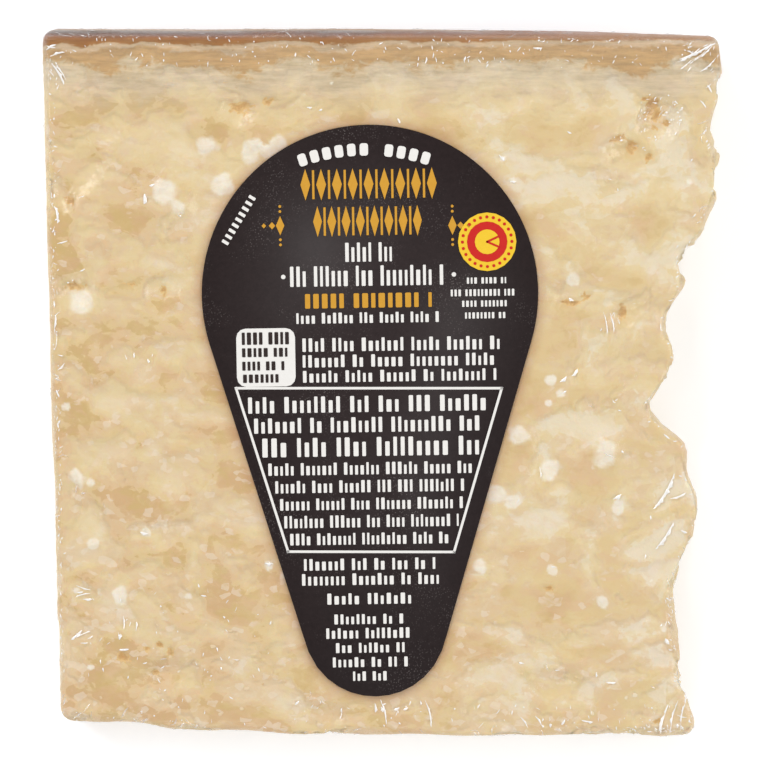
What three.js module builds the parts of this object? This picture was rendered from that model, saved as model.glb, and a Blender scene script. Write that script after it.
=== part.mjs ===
// A chunk of hard aged cheese, sealed tight in clear film, with a teardrop label on one broad face.
// It is a wedge of a tall wheel. It lies on its back, with the labelled face up, the rind towards +Y,
// the knife-cut side towards -X and the side that was broken open towards +X. Millimetres, +Z up.
import * as THREE from 'three';
import { ImprovedNoise } from 'three/addons/math/ImprovedNoise.js';
import { mergeVertices } from 'three/addons/utils/BufferGeometryUtils.js';

// Driving dimensions of the wedge
const WHEEL_RADIUS = 220;
const WEDGE_ANGLE = THREE.MathUtils.degToRad( 8.35 );
const RIND_Y = 64.2;
const TIP_Y = - 64.4;
const AXIS_Y = RIND_Y - WHEEL_RADIUS;
const LEFT_X = - 60.2;
const LEFT_TAPER = 2.2;
const LEFT_BEND = 1.5;
const EDGE_ROUND = 1.8;

// The broken side as seen from above: bulges and notches from the tip end up to the rind end
const BROKEN_SIDE = [
	[ 56.3, - 66 ], [ 56.9, - 60.5 ], [ 54.8, - 53.6 ], [ 54, - 46.3 ], [ 52.8, - 38.5 ],
	[ 54.5, - 34 ], [ 55.1, - 31 ], [ 56.9, - 25.5 ], [ 57.8, - 21 ], [ 55.3, - 15.4 ],
	[ 55, - 13.6 ], [ 55.4, - 11.8 ], [ 54.6, - 9.4 ], [ 51.1, - 7.6 ], [ 49, - 3.8 ],
	[ 50.8, - 1.3 ], [ 52.5, 3.5 ], [ 52.8, 7.5 ], [ 50.9, 12 ], [ 53.5, 15 ],
	[ 55, 20.2 ], [ 54.1, 22 ], [ 53.9, 24 ], [ 57.3, 26.6 ], [ 58.5, 30.5 ],
	[ 60.6, 37 ], [ 60.7, 42 ], [ 59.7, 45.4 ], [ 58.4, 48 ], [ 59.7, 50.6 ],
	[ 60.6, 53 ], [ 60.8, 58 ], [ 60.8, 66 ],
];

// The tip end bows in towards the cut side, and the rind end sags a little towards the broken side
const TIP_BOW = 0.0007;
const TIP_BOW_FROM_X = 10;
const RIND_SAG = 1.2;

// Relief of the broad face: broad swells, flaky ledges that run along X, and grain
const SWELL_HEIGHT = 0.45;
const SWELL_LENGTH = 38;
const LEDGE_HEIGHT = 0.95;
const LEDGE_PITCH = 8.5;
const LEDGE_WARP = 9;
const GRAIN_HEIGHT = 0.28;
const GRAIN_LENGTH = 6.5;
const RIND_DEPTH = 6;

// Long broken steps: the cheese is higher on the left of the line that runs from one end to the other
const BROKEN_STEPS = [
	{ from: [ - 59, 29 ], to: [ - 50, 37 ], rise: - 1.1, reach: 16 },
	{ from: [ - 50, 37 ], to: [ - 46, 48 ], rise: - 1.0, reach: 16 },
	{ from: [ - 46, 45 ], to: [ - 30, 37 ], rise: - 0.9, reach: 12 },
	{ from: [ - 50, - 24 ], to: [ - 34, - 26 ], rise: 0.8, reach: 10 },
	{ from: [ 36, 38 ], to: [ 46, 33 ], rise: 0.9, reach: 9 },
	{ from: [ 22, 16 ], to: [ 36, 14 ], rise: 0.8, reach: 9 },
];

// Pits and lumps: centre, half sizes across and along, and height, which is negative for a pit
const SPOTS = [
	[ - 56, 32.5, 2.2, 1.8, - 1.3 ], [ - 54.5, 16.6, 3.4, 1.6, - 1.2 ], [ - 39, 15.8, 2.6, 2, - 1.1 ],
	[ - 24.5, 48.8, 4.5, 2.4, - 1.0 ], [ 49.3, 46.6, 3.2, 4.6, - 1.6 ], [ 44.5, 40.5, 4.5, 2.6, - 1.4 ],
	[ 33.9, 14.3, 4.6, 2, - 1.3 ], [ 43.3, 12.2, 2, 3.4, - 1.1 ], [ - 38, 32, 5.5, 5.5, 0.9 ],
	[ 40.5, - 12.6, 3.2, 3.2, 0.8 ], [ 30.4, - 16, 3, 3, - 0.8 ], [ 24.8, - 9.5, 2.4, 2.4, 0.6 ],
	[ - 54.2, - 17.2, 3, 3, 0.6 ], [ 41, - 38.8, 3, 3, 0.5 ], [ - 47.6, - 38.4, 3.2, 3.2, 0.6 ],
	[ - 38, - 53, 5, 3.2, - 1.1 ], [ - 10, - 60, 6, 2.4, - 0.9 ], [ 32, - 55, 6, 3, - 1.0 ],
];

// Relief of the walls and of the back
const CRAG_DEPTH = 3;
const CRAG_LENGTH = 10;
const CRAG_PROUD = 0.55;
const TIP_ROUGHNESS = 0.6;
const CUT_ROUGHNESS = 0.35;
const RIND_ROUGHNESS = 0.2;
const BACK_DEPTH = 1.1;

// The label: a teardrop between two round ends, its axis turned a little about the upper one
const LABEL_CENTRE = new THREE.Vector2( - 2, 15.6 );
const LABEL_TOP_RADIUS = 30;
const LABEL_FOOT_RADIUS = 12.9;
const LABEL_LENGTH = 59.5;
const LABEL_TURN = THREE.MathUtils.degToRad( 0.85 );
const LABEL_THICKNESS = 0.3;
const LABEL_GAP = 0.3;
const LABEL_MARGIN = 4.5;

// How finely each piece is divided
const CHUNK_STEPS = { across: 46, along: 48, through: 7 };
const LABEL_RINGS = 5;
const LABEL_SIDES = 48;

const perlin = new ImprovedNoise();
const { clamp, lerp, smoothstep } = THREE.MathUtils;

// Noise between -1 and 1 whose features are about as long as the given length
function noise( x, y, z, length ) {

	return perlin.noise( x / length + 31.4, y / length + 15.9, z / length + 26.5 );

}

// Lines of the grid are closer together near both edges, where the rounding and the crags are
function spread( t, amount ) {

	return t - amount * Math.sin( 2 * Math.PI * t ) / ( 2 * Math.PI );

}

// The broken side's x at a place y, read from a smooth curve through its bulges and notches
const brokenCurve = new THREE.SplineCurve( BROKEN_SIDE.map( ( [ x, y ] ) => new THREE.Vector2( x, y ) ) );
const brokenPoints = brokenCurve.getPoints( BROKEN_SIDE.length * 12 );

function brokenSideX( y ) {

	const next = brokenPoints.findIndex( ( point ) => point.y >= y );
	const above = brokenPoints[ Math.max( next, 1 ) ];
	const below = brokenPoints[ Math.max( next, 1 ) - 1 ];
	const part = ( y - below.y ) / ( above.y - below.y );
	return lerp( below.x, above.x, clamp( part, 0, 1 ) );

}

function cutSideX( y ) {

	const down = clamp( ( RIND_Y - y ) / ( RIND_Y - TIP_Y ), 0, 1 );
	return LEFT_X + LEFT_TAPER * down ** LEFT_BEND;

}

function tipEndY( x ) {

	return TIP_Y + TIP_BOW * Math.max( 0, TIP_BOW_FROM_X - x ) ** 2;

}

// The rind end is part of the wheel's round wall, whose axis lies along X at table height
function rindEndY( x, z ) {

	const sag = RIND_SAG * ( Math.max( 0, x ) / 60 ) ** 2;
	return AXIS_Y + Math.sqrt( WHEEL_RADIUS ** 2 - z ** 2 ) - sag;

}

function wedgeTopZ( y ) {

	return ( y - AXIS_Y ) * Math.tan( WEDGE_ANGLE );

}

// Distance from the label's outline, negative inside it
function labelDistance( x, y ) {

	const place = new THREE.Vector2( x, y ).sub( LABEL_CENTRE ).rotateAround( new THREE.Vector2(), - LABEL_TURN );
	const side = Math.abs( place.x );
	const down = - place.y;
	const slope = ( LABEL_TOP_RADIUS - LABEL_FOOT_RADIUS ) / LABEL_LENGTH;
	const cosine = Math.sqrt( 1 - slope * slope );
	const along = down * cosine - side * slope;
	if ( along < 0 ) return Math.hypot( side, down ) - LABEL_TOP_RADIUS;
	if ( along > LABEL_LENGTH * cosine ) return Math.hypot( side, down - LABEL_LENGTH ) - LABEL_FOOT_RADIUS;
	return side * cosine + down * slope - LABEL_TOP_RADIUS;

}

// Broad swells, which the label follows too
function swell( x, y ) {

	return SWELL_HEIGHT * noise( x, y, 0, SWELL_LENGTH );

}

// Flaky ledges: a slow rise and a sudden drop, over and over, along lines that wander
function ledges( x, y ) {

	const wander = LEDGE_WARP * noise( x, 1.6 * y, 50, 17 );
	const level = ( y + wander ) / LEDGE_PITCH;
	const part = level - Math.floor( level );
	const shape = part < 0.8 ? part / 0.8 : ( 1 - part ) / 0.2;
	const strength = 0.55 + 0.9 * noise( x, y, 80, 14 );
	return LEDGE_HEIGHT * strength * ( shape - 0.5 );

}

function brokenStep( x, y, { from, to, rise, reach } ) {

	const run = new THREE.Vector2( to[ 0 ] - from[ 0 ], to[ 1 ] - from[ 1 ] );
	const length = run.length();
	run.normalize();
	const ahead = ( x - from[ 0 ] ) * run.x + ( y - from[ 1 ] ) * run.y;
	const aside = ( y - from[ 1 ] ) * run.x - ( x - from[ 0 ] ) * run.y;
	const inside = smoothstep( ahead, - 3, 2 ) * ( 1 - smoothstep( ahead, length - 2, length + 3 ) );
	const fade = Math.exp( - Math.max( 0, aside ) / reach );
	return rise * inside * smoothstep( aside, - 0.8, 1.2 ) * fade;

}

function spot( x, y, [ centreX, centreY, halfX, halfY, height ] ) {

	const away = Math.hypot( ( x - centreX ) / halfX, ( y - centreY ) / halfY );
	return height * ( 1 - smoothstep( away, 0.45, 1.15 ) );

}

// Relief of the labelled face: even under the label and along the rind, flaky elsewhere
function faceRelief( x, y ) {

	const clear = smoothstep( labelDistance( x, y ), 0.5, LABEL_MARGIN );
	const soft = smoothstep( RIND_Y - y, RIND_DEPTH * 0.5, RIND_DEPTH * 2 );
	const grain = GRAIN_HEIGHT * noise( x, 2 * y, 120, GRAIN_LENGTH );
	let relief = ledges( x, y ) + grain;
	for ( const step of BROKEN_STEPS ) relief += brokenStep( x, y, step );
	for ( const place of SPOTS ) relief += spot( x, y, place );
	return swell( x, y ) + clear * soft * relief;

}

// The back rests on its high places, which are pressed flat, and is hollowed between them
function backRelief( x, y ) {

	const field = noise( x, 1.7 * y, 200, 21 ) + 0.4 * noise( x, 2 * y, 240, 8 );
	const middle = smoothstep( Math.hypot( x, y ), 10, 24 );
	return - BACK_DEPTH * middle * smoothstep( field, 0.02, 0.4 );

}

function wallRelief( along, up, layer, depth, length ) {

	const field = noise( along, up, layer, length ) + 0.5 * noise( along, up, layer + 40, length * 0.45 );
	return depth * field;

}

// Relief of the whole surface: each direction has its own, and the squares of a unit normal share them out
function relief( place, normal ) {

	const { x, y, z } = place;
	const crag = CRAG_PROUD - Math.abs( wallRelief( y, z, 300, CRAG_DEPTH, CRAG_LENGTH ) );
	const cut = wallRelief( y, z, 400, CUT_ROUGHNESS, 16 );
	const tip = wallRelief( x, z, 500, TIP_ROUGHNESS, 10 );
	const rind = wallRelief( x, z, 600, RIND_ROUGHNESS, 24 );
	return normal.z ** 2 * ( normal.z > 0 ? faceRelief( x, y ) : backRelief( x, y ) )
		+ normal.x ** 2 * ( normal.x > 0 ? crag : cut )
		+ normal.y ** 2 * ( normal.y > 0 ? rind : tip );

}

// A point of a unit box, each coordinate from 0 to 1, is carried to its place on the chunk
function chunkPoint( u, v, w ) {

	const levelY = lerp( TIP_Y, RIND_Y, v );
	const left = cutSideX( levelY );
	const right = brokenSideX( levelY );
	const x = lerp( left, right, u );
	const front = tipEndY( x );
	const back = rindEndY( x, w * wedgeTopZ( levelY ) );
	const y = lerp( front, back, v );
	const top = wedgeTopZ( y );
	const place = new THREE.Vector3( x, y, w * top );
	const core = new THREE.Vector3(
		clamp( x, left + EDGE_ROUND, right - EDGE_ROUND ),
		clamp( y, front + EDGE_ROUND, back - EDGE_ROUND ),
		clamp( place.z, EDGE_ROUND, top - EDGE_ROUND ),
	);
	const normal = place.clone().sub( core ).normalize();
	return core.addScaledVector( normal, EDGE_ROUND + relief( place, normal ) );

}

// Only positions are kept, and the vertices that faces share are joined, so that the solid is closed
function closedGeometry( geometry ) {

	geometry.deleteAttribute( 'normal' );
	geometry.deleteAttribute( 'uv' );
	const closed = mergeVertices( geometry, 1e-4 );
	closed.computeVertexNormals();
	return closed;

}

function makeChunk() {

	const { across, along, through } = CHUNK_STEPS;
	const geometry = new THREE.BoxGeometry( 1, 1, 1, across, along, through );
	const positions = geometry.attributes.position;
	for ( let i = 0; i < positions.count; i ++ ) {

		const u = spread( positions.getX( i ) + 0.5, 0.3 );
		const v = spread( positions.getY( i ) + 0.5, 0.25 );
		const w = spread( positions.getZ( i ) + 0.5, 0.35 );
		const point = chunkPoint( u, v, w );
		positions.setXYZ( i, point.x, point.y, Math.max( 0, point.z ) );

	}

	const material = new THREE.MeshStandardMaterial( { color: 0xe2c9a0, roughness: 0.45, metalness: 0 } );
	const chunk = new THREE.Mesh( closedGeometry( geometry ), material );
	chunk.name = 'cheese_in_film';
	return chunk;

}

// The label's outline at evenly spaced points, about the centre of its upper end
function labelOutline() {

	const lean = Math.asin( ( LABEL_TOP_RADIUS - LABEL_FOOT_RADIUS ) / LABEL_LENGTH );
	const shape = new THREE.Path();
	shape.absarc( 0, 0, LABEL_TOP_RADIUS, - lean, Math.PI + lean, false );
	shape.absarc( 0, - LABEL_LENGTH, LABEL_FOOT_RADIUS, Math.PI + lean, 2 * Math.PI - lean, false );
	shape.closePath();
	return shape.getSpacedPoints( LABEL_SIDES );

}

// A flat round disc with rings is drawn out to the teardrop and laid on the face
function makeLabel() {

	const outline = labelOutline();
	const heart = new THREE.Vector2( 0, - LABEL_LENGTH * 0.42 );
	const profile = [];
	for ( let i = 0; i <= LABEL_RINGS; i ++ ) profile.push( new THREE.Vector2( i / LABEL_RINGS, 0 ) );
	for ( let i = LABEL_RINGS; i >= 0; i -- ) profile.push( new THREE.Vector2( i / LABEL_RINGS, 1 ) );
	const geometry = new THREE.LatheGeometry( profile, LABEL_SIDES );
	const positions = geometry.attributes.position;
	for ( let i = 0; i < positions.count; i ++ ) {

		const ring = Math.hypot( positions.getX( i ), positions.getZ( i ) );
		const angle = Math.atan2( positions.getX( i ), positions.getZ( i ) );
		const side = Math.round( angle / ( 2 * Math.PI ) * LABEL_SIDES + LABEL_SIDES ) % LABEL_SIDES;
		const place = heart.clone().lerp( outline[ side ], ring );
		place.rotateAround( new THREE.Vector2(), LABEL_TURN ).add( LABEL_CENTRE );
		const under = wedgeTopZ( place.y ) + swell( place.x, place.y ) + LABEL_GAP;
		positions.setXYZ( i, place.x, place.y, under + positions.getY( i ) * LABEL_THICKNESS );

	}

	const material = new THREE.MeshStandardMaterial( { color: 0x2a211f, roughness: 0.4, metalness: 0 } );
	const label = new THREE.Mesh( closedGeometry( geometry ), material );
	label.name = 'label';
	return label;

}

// The origin is the middle of the chunk's box, at the height of what it rests on
const group = new THREE.Group();
const chunk = makeChunk();
chunk.geometry.computeBoundingBox();
const middle = chunk.geometry.boundingBox.getCenter( new THREE.Vector3() );
group.add( chunk, makeLabel() );
group.position.set( - middle.x, - middle.y, - chunk.geometry.boundingBox.min.z );
group.updateMatrixWorld( true );

export default group;
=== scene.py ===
# %% [markdown]
# # A sealed chunk of hard aged cheese
#
# The object is a wedge of a tall wheel, sealed tight in clear film, with a near-black paper label
# stuck on its upper face. It has five kinds of piece: the cheese, crumbs that lie loose under the
# film, the film, its creases, and the label with its print. Each gets its own mesh and its own
# material.
#
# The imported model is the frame. Its outer form is right, so nothing is measured a second time:
# the pieces start from the frame's solids and only add what is too fine for them.

# %% Load the frame
import math
import random

import bmesh
import bpy
from mathutils import Matrix, Vector, kdtree, noise
from mathutils.bvhtree import BVHTree


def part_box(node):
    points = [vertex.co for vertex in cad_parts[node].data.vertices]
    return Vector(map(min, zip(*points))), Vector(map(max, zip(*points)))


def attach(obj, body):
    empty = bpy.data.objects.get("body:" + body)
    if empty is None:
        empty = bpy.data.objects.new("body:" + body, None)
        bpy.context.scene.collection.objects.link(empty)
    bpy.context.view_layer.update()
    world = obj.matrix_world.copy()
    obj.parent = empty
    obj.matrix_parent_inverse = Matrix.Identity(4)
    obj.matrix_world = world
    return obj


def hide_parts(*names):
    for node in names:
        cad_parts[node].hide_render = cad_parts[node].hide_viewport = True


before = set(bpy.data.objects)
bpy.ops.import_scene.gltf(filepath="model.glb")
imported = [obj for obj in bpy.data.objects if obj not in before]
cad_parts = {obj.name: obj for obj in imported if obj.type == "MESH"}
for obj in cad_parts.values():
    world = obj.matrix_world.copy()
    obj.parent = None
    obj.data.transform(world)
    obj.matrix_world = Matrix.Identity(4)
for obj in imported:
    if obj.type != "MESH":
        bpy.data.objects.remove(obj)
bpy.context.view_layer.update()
MM = 0.001
chunk_low, chunk_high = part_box("cheese_in_film")
label_low, label_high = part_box("label")
print("chunk in mm:", [round(side / MM, 1) for side in chunk_high - chunk_low])
print("label in mm:", [round(side / MM, 1) for side in label_high - label_low])

# %% [markdown]
# ## The wheel and the wedge
#
# The rind is part of the wheel's round wall, so how deep a place lies under the rind is the
# wheel's radius less its distance from the wheel's axis. The axis runs along X at the height of
# the table. The same number later colours the rind's layers on every side of the chunk at once.

# %% The wheel's axis and the slope of the upper face
WHEEL_RADIUS = 220 * MM
WEDGE_ANGLE = math.radians(8.35)
wheel_axis_y = chunk_high.y - WHEEL_RADIUS


def rind_depth(place):
    """How far a place lies under the outside of the wheel, in metres."""
    return WHEEL_RADIUS - math.hypot(place.y - wheel_axis_y, place.z)


def slope_height(y):
    """Height of the wedge's upper plane at y."""
    return (y - wheel_axis_y) * math.tan(WEDGE_ANGLE)


print("wheel axis at y =", round(wheel_axis_y / MM, 1), "mm")

# %% [markdown]
# ## Turning the solid into a fine, smooth skin
#
# The frame's solid is faceted: its faces are two or three millimetres wide. A voxel remesh would
# keep the facets, so the triangles are first joined back into quads, and a Catmull-Clark
# subdivision then rounds them. It also pulls corners in, so each vertex is first pushed out by as
# much as it would lose, and the chunk keeps its size. The regions that show crumb and flakes are
# divided further than the back, so that the detail goes where it is seen.

# %% A merged copy of a frame node
MERGE_DISTANCE = 0.001 * MM


def merged_copy(node):
    """The node's mesh as a bmesh, with its loose triangles joined up and paired into quads."""
    bm = bmesh.new()
    bm.from_mesh(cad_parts[node].data)
    bmesh.ops.remove_doubles(bm, verts=bm.verts, dist=MERGE_DISTANCE)
    bmesh.ops.join_triangles(
        bm, faces=bm.faces, angle_face_threshold=math.pi, angle_shape_threshold=math.pi
    )
    return bm


def new_object(name, bm):
    """A mesh object at the origin from a bmesh, shaded smooth."""
    mesh = bpy.data.meshes.new(name)
    bm.to_mesh(mesh)
    bm.free()
    mesh.shade_smooth()
    piece = bpy.data.objects.new(name, mesh)
    bpy.context.scene.collection.objects.link(piece)
    return piece


def catmull_clark(bm, levels):
    """The bmesh after a Catmull-Clark subdivision. The vertices that it had come first."""
    helper = new_object("subdivision_helper", bm.copy())
    modifier = helper.modifiers.new("round", "SUBSURF")
    modifier.levels = levels
    modifier.render_levels = levels
    graph = bpy.context.evaluated_depsgraph_get()
    smooth = bpy.data.meshes.new_from_object(helper.evaluated_get(graph))
    result = bmesh.new()
    result.from_mesh(smooth)
    result.verts.ensure_lookup_table()
    bpy.data.objects.remove(helper)
    bpy.data.meshes.remove(smooth)
    return result


def subdivided(node, levels):
    """A frame node, subdivided so that it still passes through its own vertices."""
    cage = merged_copy(node)
    pulled_in = catmull_clark(cage, levels)
    losses = [vert.co - pulled_in.verts[index].co for index, vert in enumerate(cage.verts)]
    for vert, loss in zip(cage.verts, losses):
        vert.co += loss
    return catmull_clark(cage, levels)


skin = subdivided("cheese_in_film", 1)
print("skin:", len(skin.faces), "faces")

# %% [markdown]
# ## Which way a place faces
#
# The sides look different: the labelled face and the back are broken flaky, the +X side and the
# tip are broken craggy, the -X side was cut with a knife, and the rind is smooth. The squares of
# a unit normal add up to one, so they share a place out between the six sides without a seam.

# %% Shares of the six sides
SIDES = ("face", "back", "broken", "cut", "rind", "tip")


def side_shares(normal):
    """How much a place belongs to each side; the shares add up to one."""
    squares = [normal.z ** 2, normal.x ** 2, normal.y ** 2]
    shares = dict.fromkeys(SIDES, 0.0)
    shares["face" if normal.z > 0 else "back"] = squares[0]
    shares["broken" if normal.x > 0 else "cut"] = squares[1]
    shares["rind" if normal.y > 0 else "tip"] = squares[2]
    return shares


def smooth_step(value, low, high):
    """0 below low, 1 above high and an even curve between them."""
    part = min(1.0, max(0.0, (value - low) / (high - low)))
    return part * part * (3 - 2 * part)


print("sides:", ", ".join(SIDES))

# %% [markdown]
# ## The label's outline
#
# The label is a teardrop: two round ends with straight sides between them. Its outline is needed
# first, because the cheese under it is pressed flat. The distance from such a shape has a short
# formula.

# %% Teardrop of the label
LABEL_CENTRE = Vector((-2.51 * MM, 15.88 * MM))
LABEL_TOP_RADIUS = 30 * MM
LABEL_FOOT_RADIUS = 12.9 * MM
LABEL_LENGTH = 59.5 * MM
LABEL_TURN = math.radians(0.85)
LABEL_SLOPE = (LABEL_TOP_RADIUS - LABEL_FOOT_RADIUS) / LABEL_LENGTH
LABEL_COSINE = math.sqrt(1 - LABEL_SLOPE ** 2)


def label_to_frame(x, y):
    """A place on the label, from the centre of its upper end, as a place in the frame."""
    turned = Matrix.Rotation(LABEL_TURN, 2) @ Vector((x, y))
    return turned + LABEL_CENTRE


def label_distance(place):
    """Distance from the label's outline in plan, negative inside it."""
    local = Matrix.Rotation(-LABEL_TURN, 2) @ (place.xy - LABEL_CENTRE)
    side = abs(local.x)
    down = -local.y
    along = down * LABEL_COSINE - side * LABEL_SLOPE
    if along < 0:
        return math.hypot(side, down) - LABEL_TOP_RADIUS
    if along > LABEL_LENGTH * LABEL_COSINE:
        return math.hypot(side, down - LABEL_LENGTH) - LABEL_FOOT_RADIUS
    return side * LABEL_COSINE + down * LABEL_SLOPE - LABEL_TOP_RADIUS


print("label is", round((LABEL_TOP_RADIUS + LABEL_LENGTH + LABEL_FOOT_RADIUS) / MM, 1), "mm long")

# %% [markdown]
# ## Dividing the skin where detail shows
#
# The labelled face is seen closest, so its faces come out about 0.4 mm wide outside the label.
# The four walls get 0.7 mm. The back and what the label hides keep the skin's own 1.3 mm.

# %% Finer faces on the labelled face and the walls
FACE_CUTS = 2
WALL_CUTS = 1
LABEL_HIDES = -1.5 * MM
FACES_UP = 0.6  # the upward part of a normal from which a place belongs to a broad face


def edges_of(bm, wanted):
    """Edges of the faces that a test picks."""
    return list({edge for face in bm.faces if wanted(face) for edge in face.edges})


def on_open_face(face):
    """On the labelled face, outside the label."""
    return face.normal.z > FACES_UP and label_distance(face.calc_center_median()) > LABEL_HIDES


def on_wall(face):
    """On one of the four walls."""
    return abs(face.normal.z) <= FACES_UP


skin.normal_update()
cheese_mesh = skin.copy()
for wanted, cuts in ((on_open_face, FACE_CUTS), (on_wall, WALL_CUTS)):
    bmesh.ops.subdivide_edges(
        cheese_mesh, edges=edges_of(cheese_mesh, wanted), cuts=cuts, use_grid_fill=True
    )
    cheese_mesh.normal_update()
print("cheese skin:", len(cheese_mesh.verts), "vertices")

# %% [markdown]
# ## Flakes, pits and crystals
#
# Aged cheese doesn't cut clean: flakes break out of it and leave shallow hollows with ragged
# rims, longer across the chunk than along it. A smooth noise field gives such shapes where it
# rises above a threshold, and its small octaves tear the rim. Where the film touches the cheese
# it looks waxy and straw-coloured, and in the hollows, where air lies under the film, it looks
# pale and crumbly. So the field is kept on each vertex for the material.
#
# The noise is bent by slower noise first, or its shapes would line up with the axes. All its
# lengths are in millimetres.

# %% The field of the flakes
FLAKE_SIZE = (10.0, 6.0, 9.0)
FLAKE_OCTAVES = 5
FLAKE_SMOOTHNESS = 0.8
OCTAVE_STEP = 2.1
FLAKE_STRENGTH = 0.5
FLAKE_NOISE_AT = Vector((11.3, -11.3, 11.3))
BROAD_BEND = (11.0, 4.0, 3.7)  # wave length, reach, and its own layer of the noise
FINE_BEND = (3.0, 1.1, 8.1)
HOLLOW_FROM = 0.53
DEEPER_FROM = 0.74
RIM = 0.05
FIRST_LEVEL = 0.6


def warped(place, length, amount, layer):
    """A place in millimetres, moved about by slow noise so that no pattern runs straight."""
    shift = noise.noise_vector(place / length + Vector((layer, layer, layer)))
    return place + shift * amount


def flake_field(place_mm):
    """Noise from about 0 to 1, whose high parts are where flakes broke out."""
    moved = warped(warped(place_mm, *BROAD_BEND), *FINE_BEND)
    scaled = Vector([part / size for part, size in zip(moved, FLAKE_SIZE)])
    value = noise.fractal(scaled + FLAKE_NOISE_AT, FLAKE_SMOOTHNESS, OCTAVE_STEP, FLAKE_OCTAVES)
    return 0.5 + FLAKE_STRENGTH * value


def hollow_depth(value):
    """Depth from 0 to 1 for a value of the field: one level of hollows and a deeper one in it."""
    first = smooth_step(value, HOLLOW_FROM, HOLLOW_FROM + RIM)
    second = smooth_step(value, DEEPER_FROM, DEEPER_FROM + RIM)
    return FIRST_LEVEL * first + (1 - FIRST_LEVEL) * second


print("flakes about", FLAKE_SIZE, "mm, in", FLAKE_OCTAVES, "octaves")

# %% [markdown]
# ## The larger patches
#
# Noise alone puts pale and waxy areas anywhere. This chunk has some large ones in known places,
# so a short list of soft ellipses lifts the field where an area is pale and lowers it where it is
# waxy. Each row has the middle, the two half lengths, the turn in degrees and the strength. The
# noise still draws the ragged rims, so no ellipse shows.

# %% Large pale patches and straw-coloured ones that the photograph shows
PATCH_STRENGTH = 0.145
PATCH_REACH = 5  # past this many squared half lengths an ellipse adds nothing that shows
SHOWN_PATCHES = [
    (-39.5, 42.5, 8.0, 5.0, -9, 1.3), (-25.0, 40.5, 6.5, 3.5, -20, 1.4),
    (-44.5, -42.2, 7.0, 5.2, -40, 1.7), (33.5, 14.1, 8.4, 4.6, -23, 1.4),
    (50.3, 21.6, 17.4, 2.8, 65, 1.5), (-35.6, -25.7, 16.3, 2.4, 18, 1.2),
    (-43.0, 20.5, 6.0, 4.8, 15, 1.3), (51.3, 41.5, 10.6, 4.5, 49, 1.1),
    (42.1, 49.8, 5.6, 2.9, -63, 1.1), (22.6, -20.7, 7.6, 2.6, -12, 1.8),
    (4.4, 53.3, 7.8, 1.8, 6, 1.2), (-39.4, 32.7, 4.0, 2.9, 16, 1.9),
    (24.6, 50.3, 5.0, 2.6, 19, 1.1), (14.5, -49.3, 6.2, 2.2, -34, 1.2),
    (-14.7, 52.0, 4.1, 2.9, -61, 1.3), (31.1, -6.2, 4.6, 1.9, 3, 1.5),
    (-31.9, -5.3, 7.2, 1.6, -17, 1.1), (38.3, -37.6, 4.7, 1.8, -65, 1.4),
    (51.2, -19.8, 3.9, 2.1, 31, 1.8), (41.6, -21.6, 3.4, 2.2, 80, 2.0),
    (-46.2, -3.4, 3.7, 2.3, 68, 1.2), (-54.9, -37.6, 3.2, 2.0, -33, 1.5),
    (30.3, -51.1, 3.4, 2.1, -77, 1.3), (-13.3, -58.5, 3.3, 1.7, 16, 1.5),
    (50.9, -27.8, 3.0, 1.9, 35, 1.6), (50.1, -46.4, 4.8, 1.6, 88, 1.4),
    (-54.5, -44.7, 2.5, 2.1, -8, 1.5), (-38.2, 53.7, 5.5, 1.3, -8, 1.0),
    (31.9, 36.0, 3.8, 1.4, 3, 1.4), (41.4, -53.2, 3.2, 1.6, 21, 1.6),
    (-54.7, 14.8, 3.5, 1.4, -1, 1.8), (23.0, 39.8, 5.6, 1.3, -34, 1.1),
    (-49.1, -54.0, 9.2, 5.2, -24, -1.7), (30.0, 1.6, 9.5, 5.5, 19, -1.5),
    (-52.9, 50.0, 8.4, 5.3, 15, -1.3), (49.3, 50.4, 5.2, 4.2, 7, -1.8),
    (47.0, -15.5, 4.9, 3.1, 19, -1.6), (-32.0, 46.4, 6.7, 3.4, -6, -1.3),
    (30.0, 26.6, 6.2, 2.6, -16, -1.4), (29.7, -31.8, 7.0, 3.1, -8, -1.1),
    (24.4, -14.5, 4.2, 3.3, 2, -1.5), (-47.6, 28.0, 6.1, 2.9, 46, -1.1),
    (-42.5, -14.6, 8.7, 2.6, 15, -0.9), (-37.4, -33.7, 3.7, 3.3, -74, -1.1),
    (-14.2, -53.4, 3.2, 2.9, -54, -1.8), (-22.9, 53.1, 5.7, 2.2, -29, -1.3),
    (43.9, 41.8, 4.4, 1.7, -28, -1.9), (-25.9, -15.7, 4.9, 1.8, -65, -1.2),
    (36.0, -17.7, 4.7, 2.7, -66, -1.0), (-54.1, 11.0, 5.0, 1.6, 4, -1.1),
    (28.9, 41.1, 5.1, 1.5, -24, -1.0), (-48.7, -26.0, 3.6, 1.9, 81, -1.2),
    (42.6, 30.4, 5.9, 1.1, -9, -1.0), (19.5, -46.9, 2.7, 2.2, -34, -1.2),
    (-31.0, 0.4, 4.8, 2.0, -32, -1.4),
]
patch_axes = [
    (
        Vector((math.cos(math.radians(turn)), math.sin(math.radians(turn)))),
        Vector((x, y)), long, short, strength,
    )
    for x, y, long, short, turn, strength in SHOWN_PATCHES
]


def shown_patch(place_mm):
    """How far the patches raise the field at a place, or lower it: each is a soft-edged ellipse."""
    total = 0.0
    for axis, centre, long, short, strength in patch_axes:
        away = place_mm.xy - centre
        if away.length_squared < PATCH_REACH * long * long:
            along = away.dot(axis) / long
            across = away.cross(axis) / short
            total += strength * math.exp(-along * along - across * across)
    return PATCH_STRENGTH * total


print("patches that the photograph shows:", len(SHOWN_PATCHES))

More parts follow.
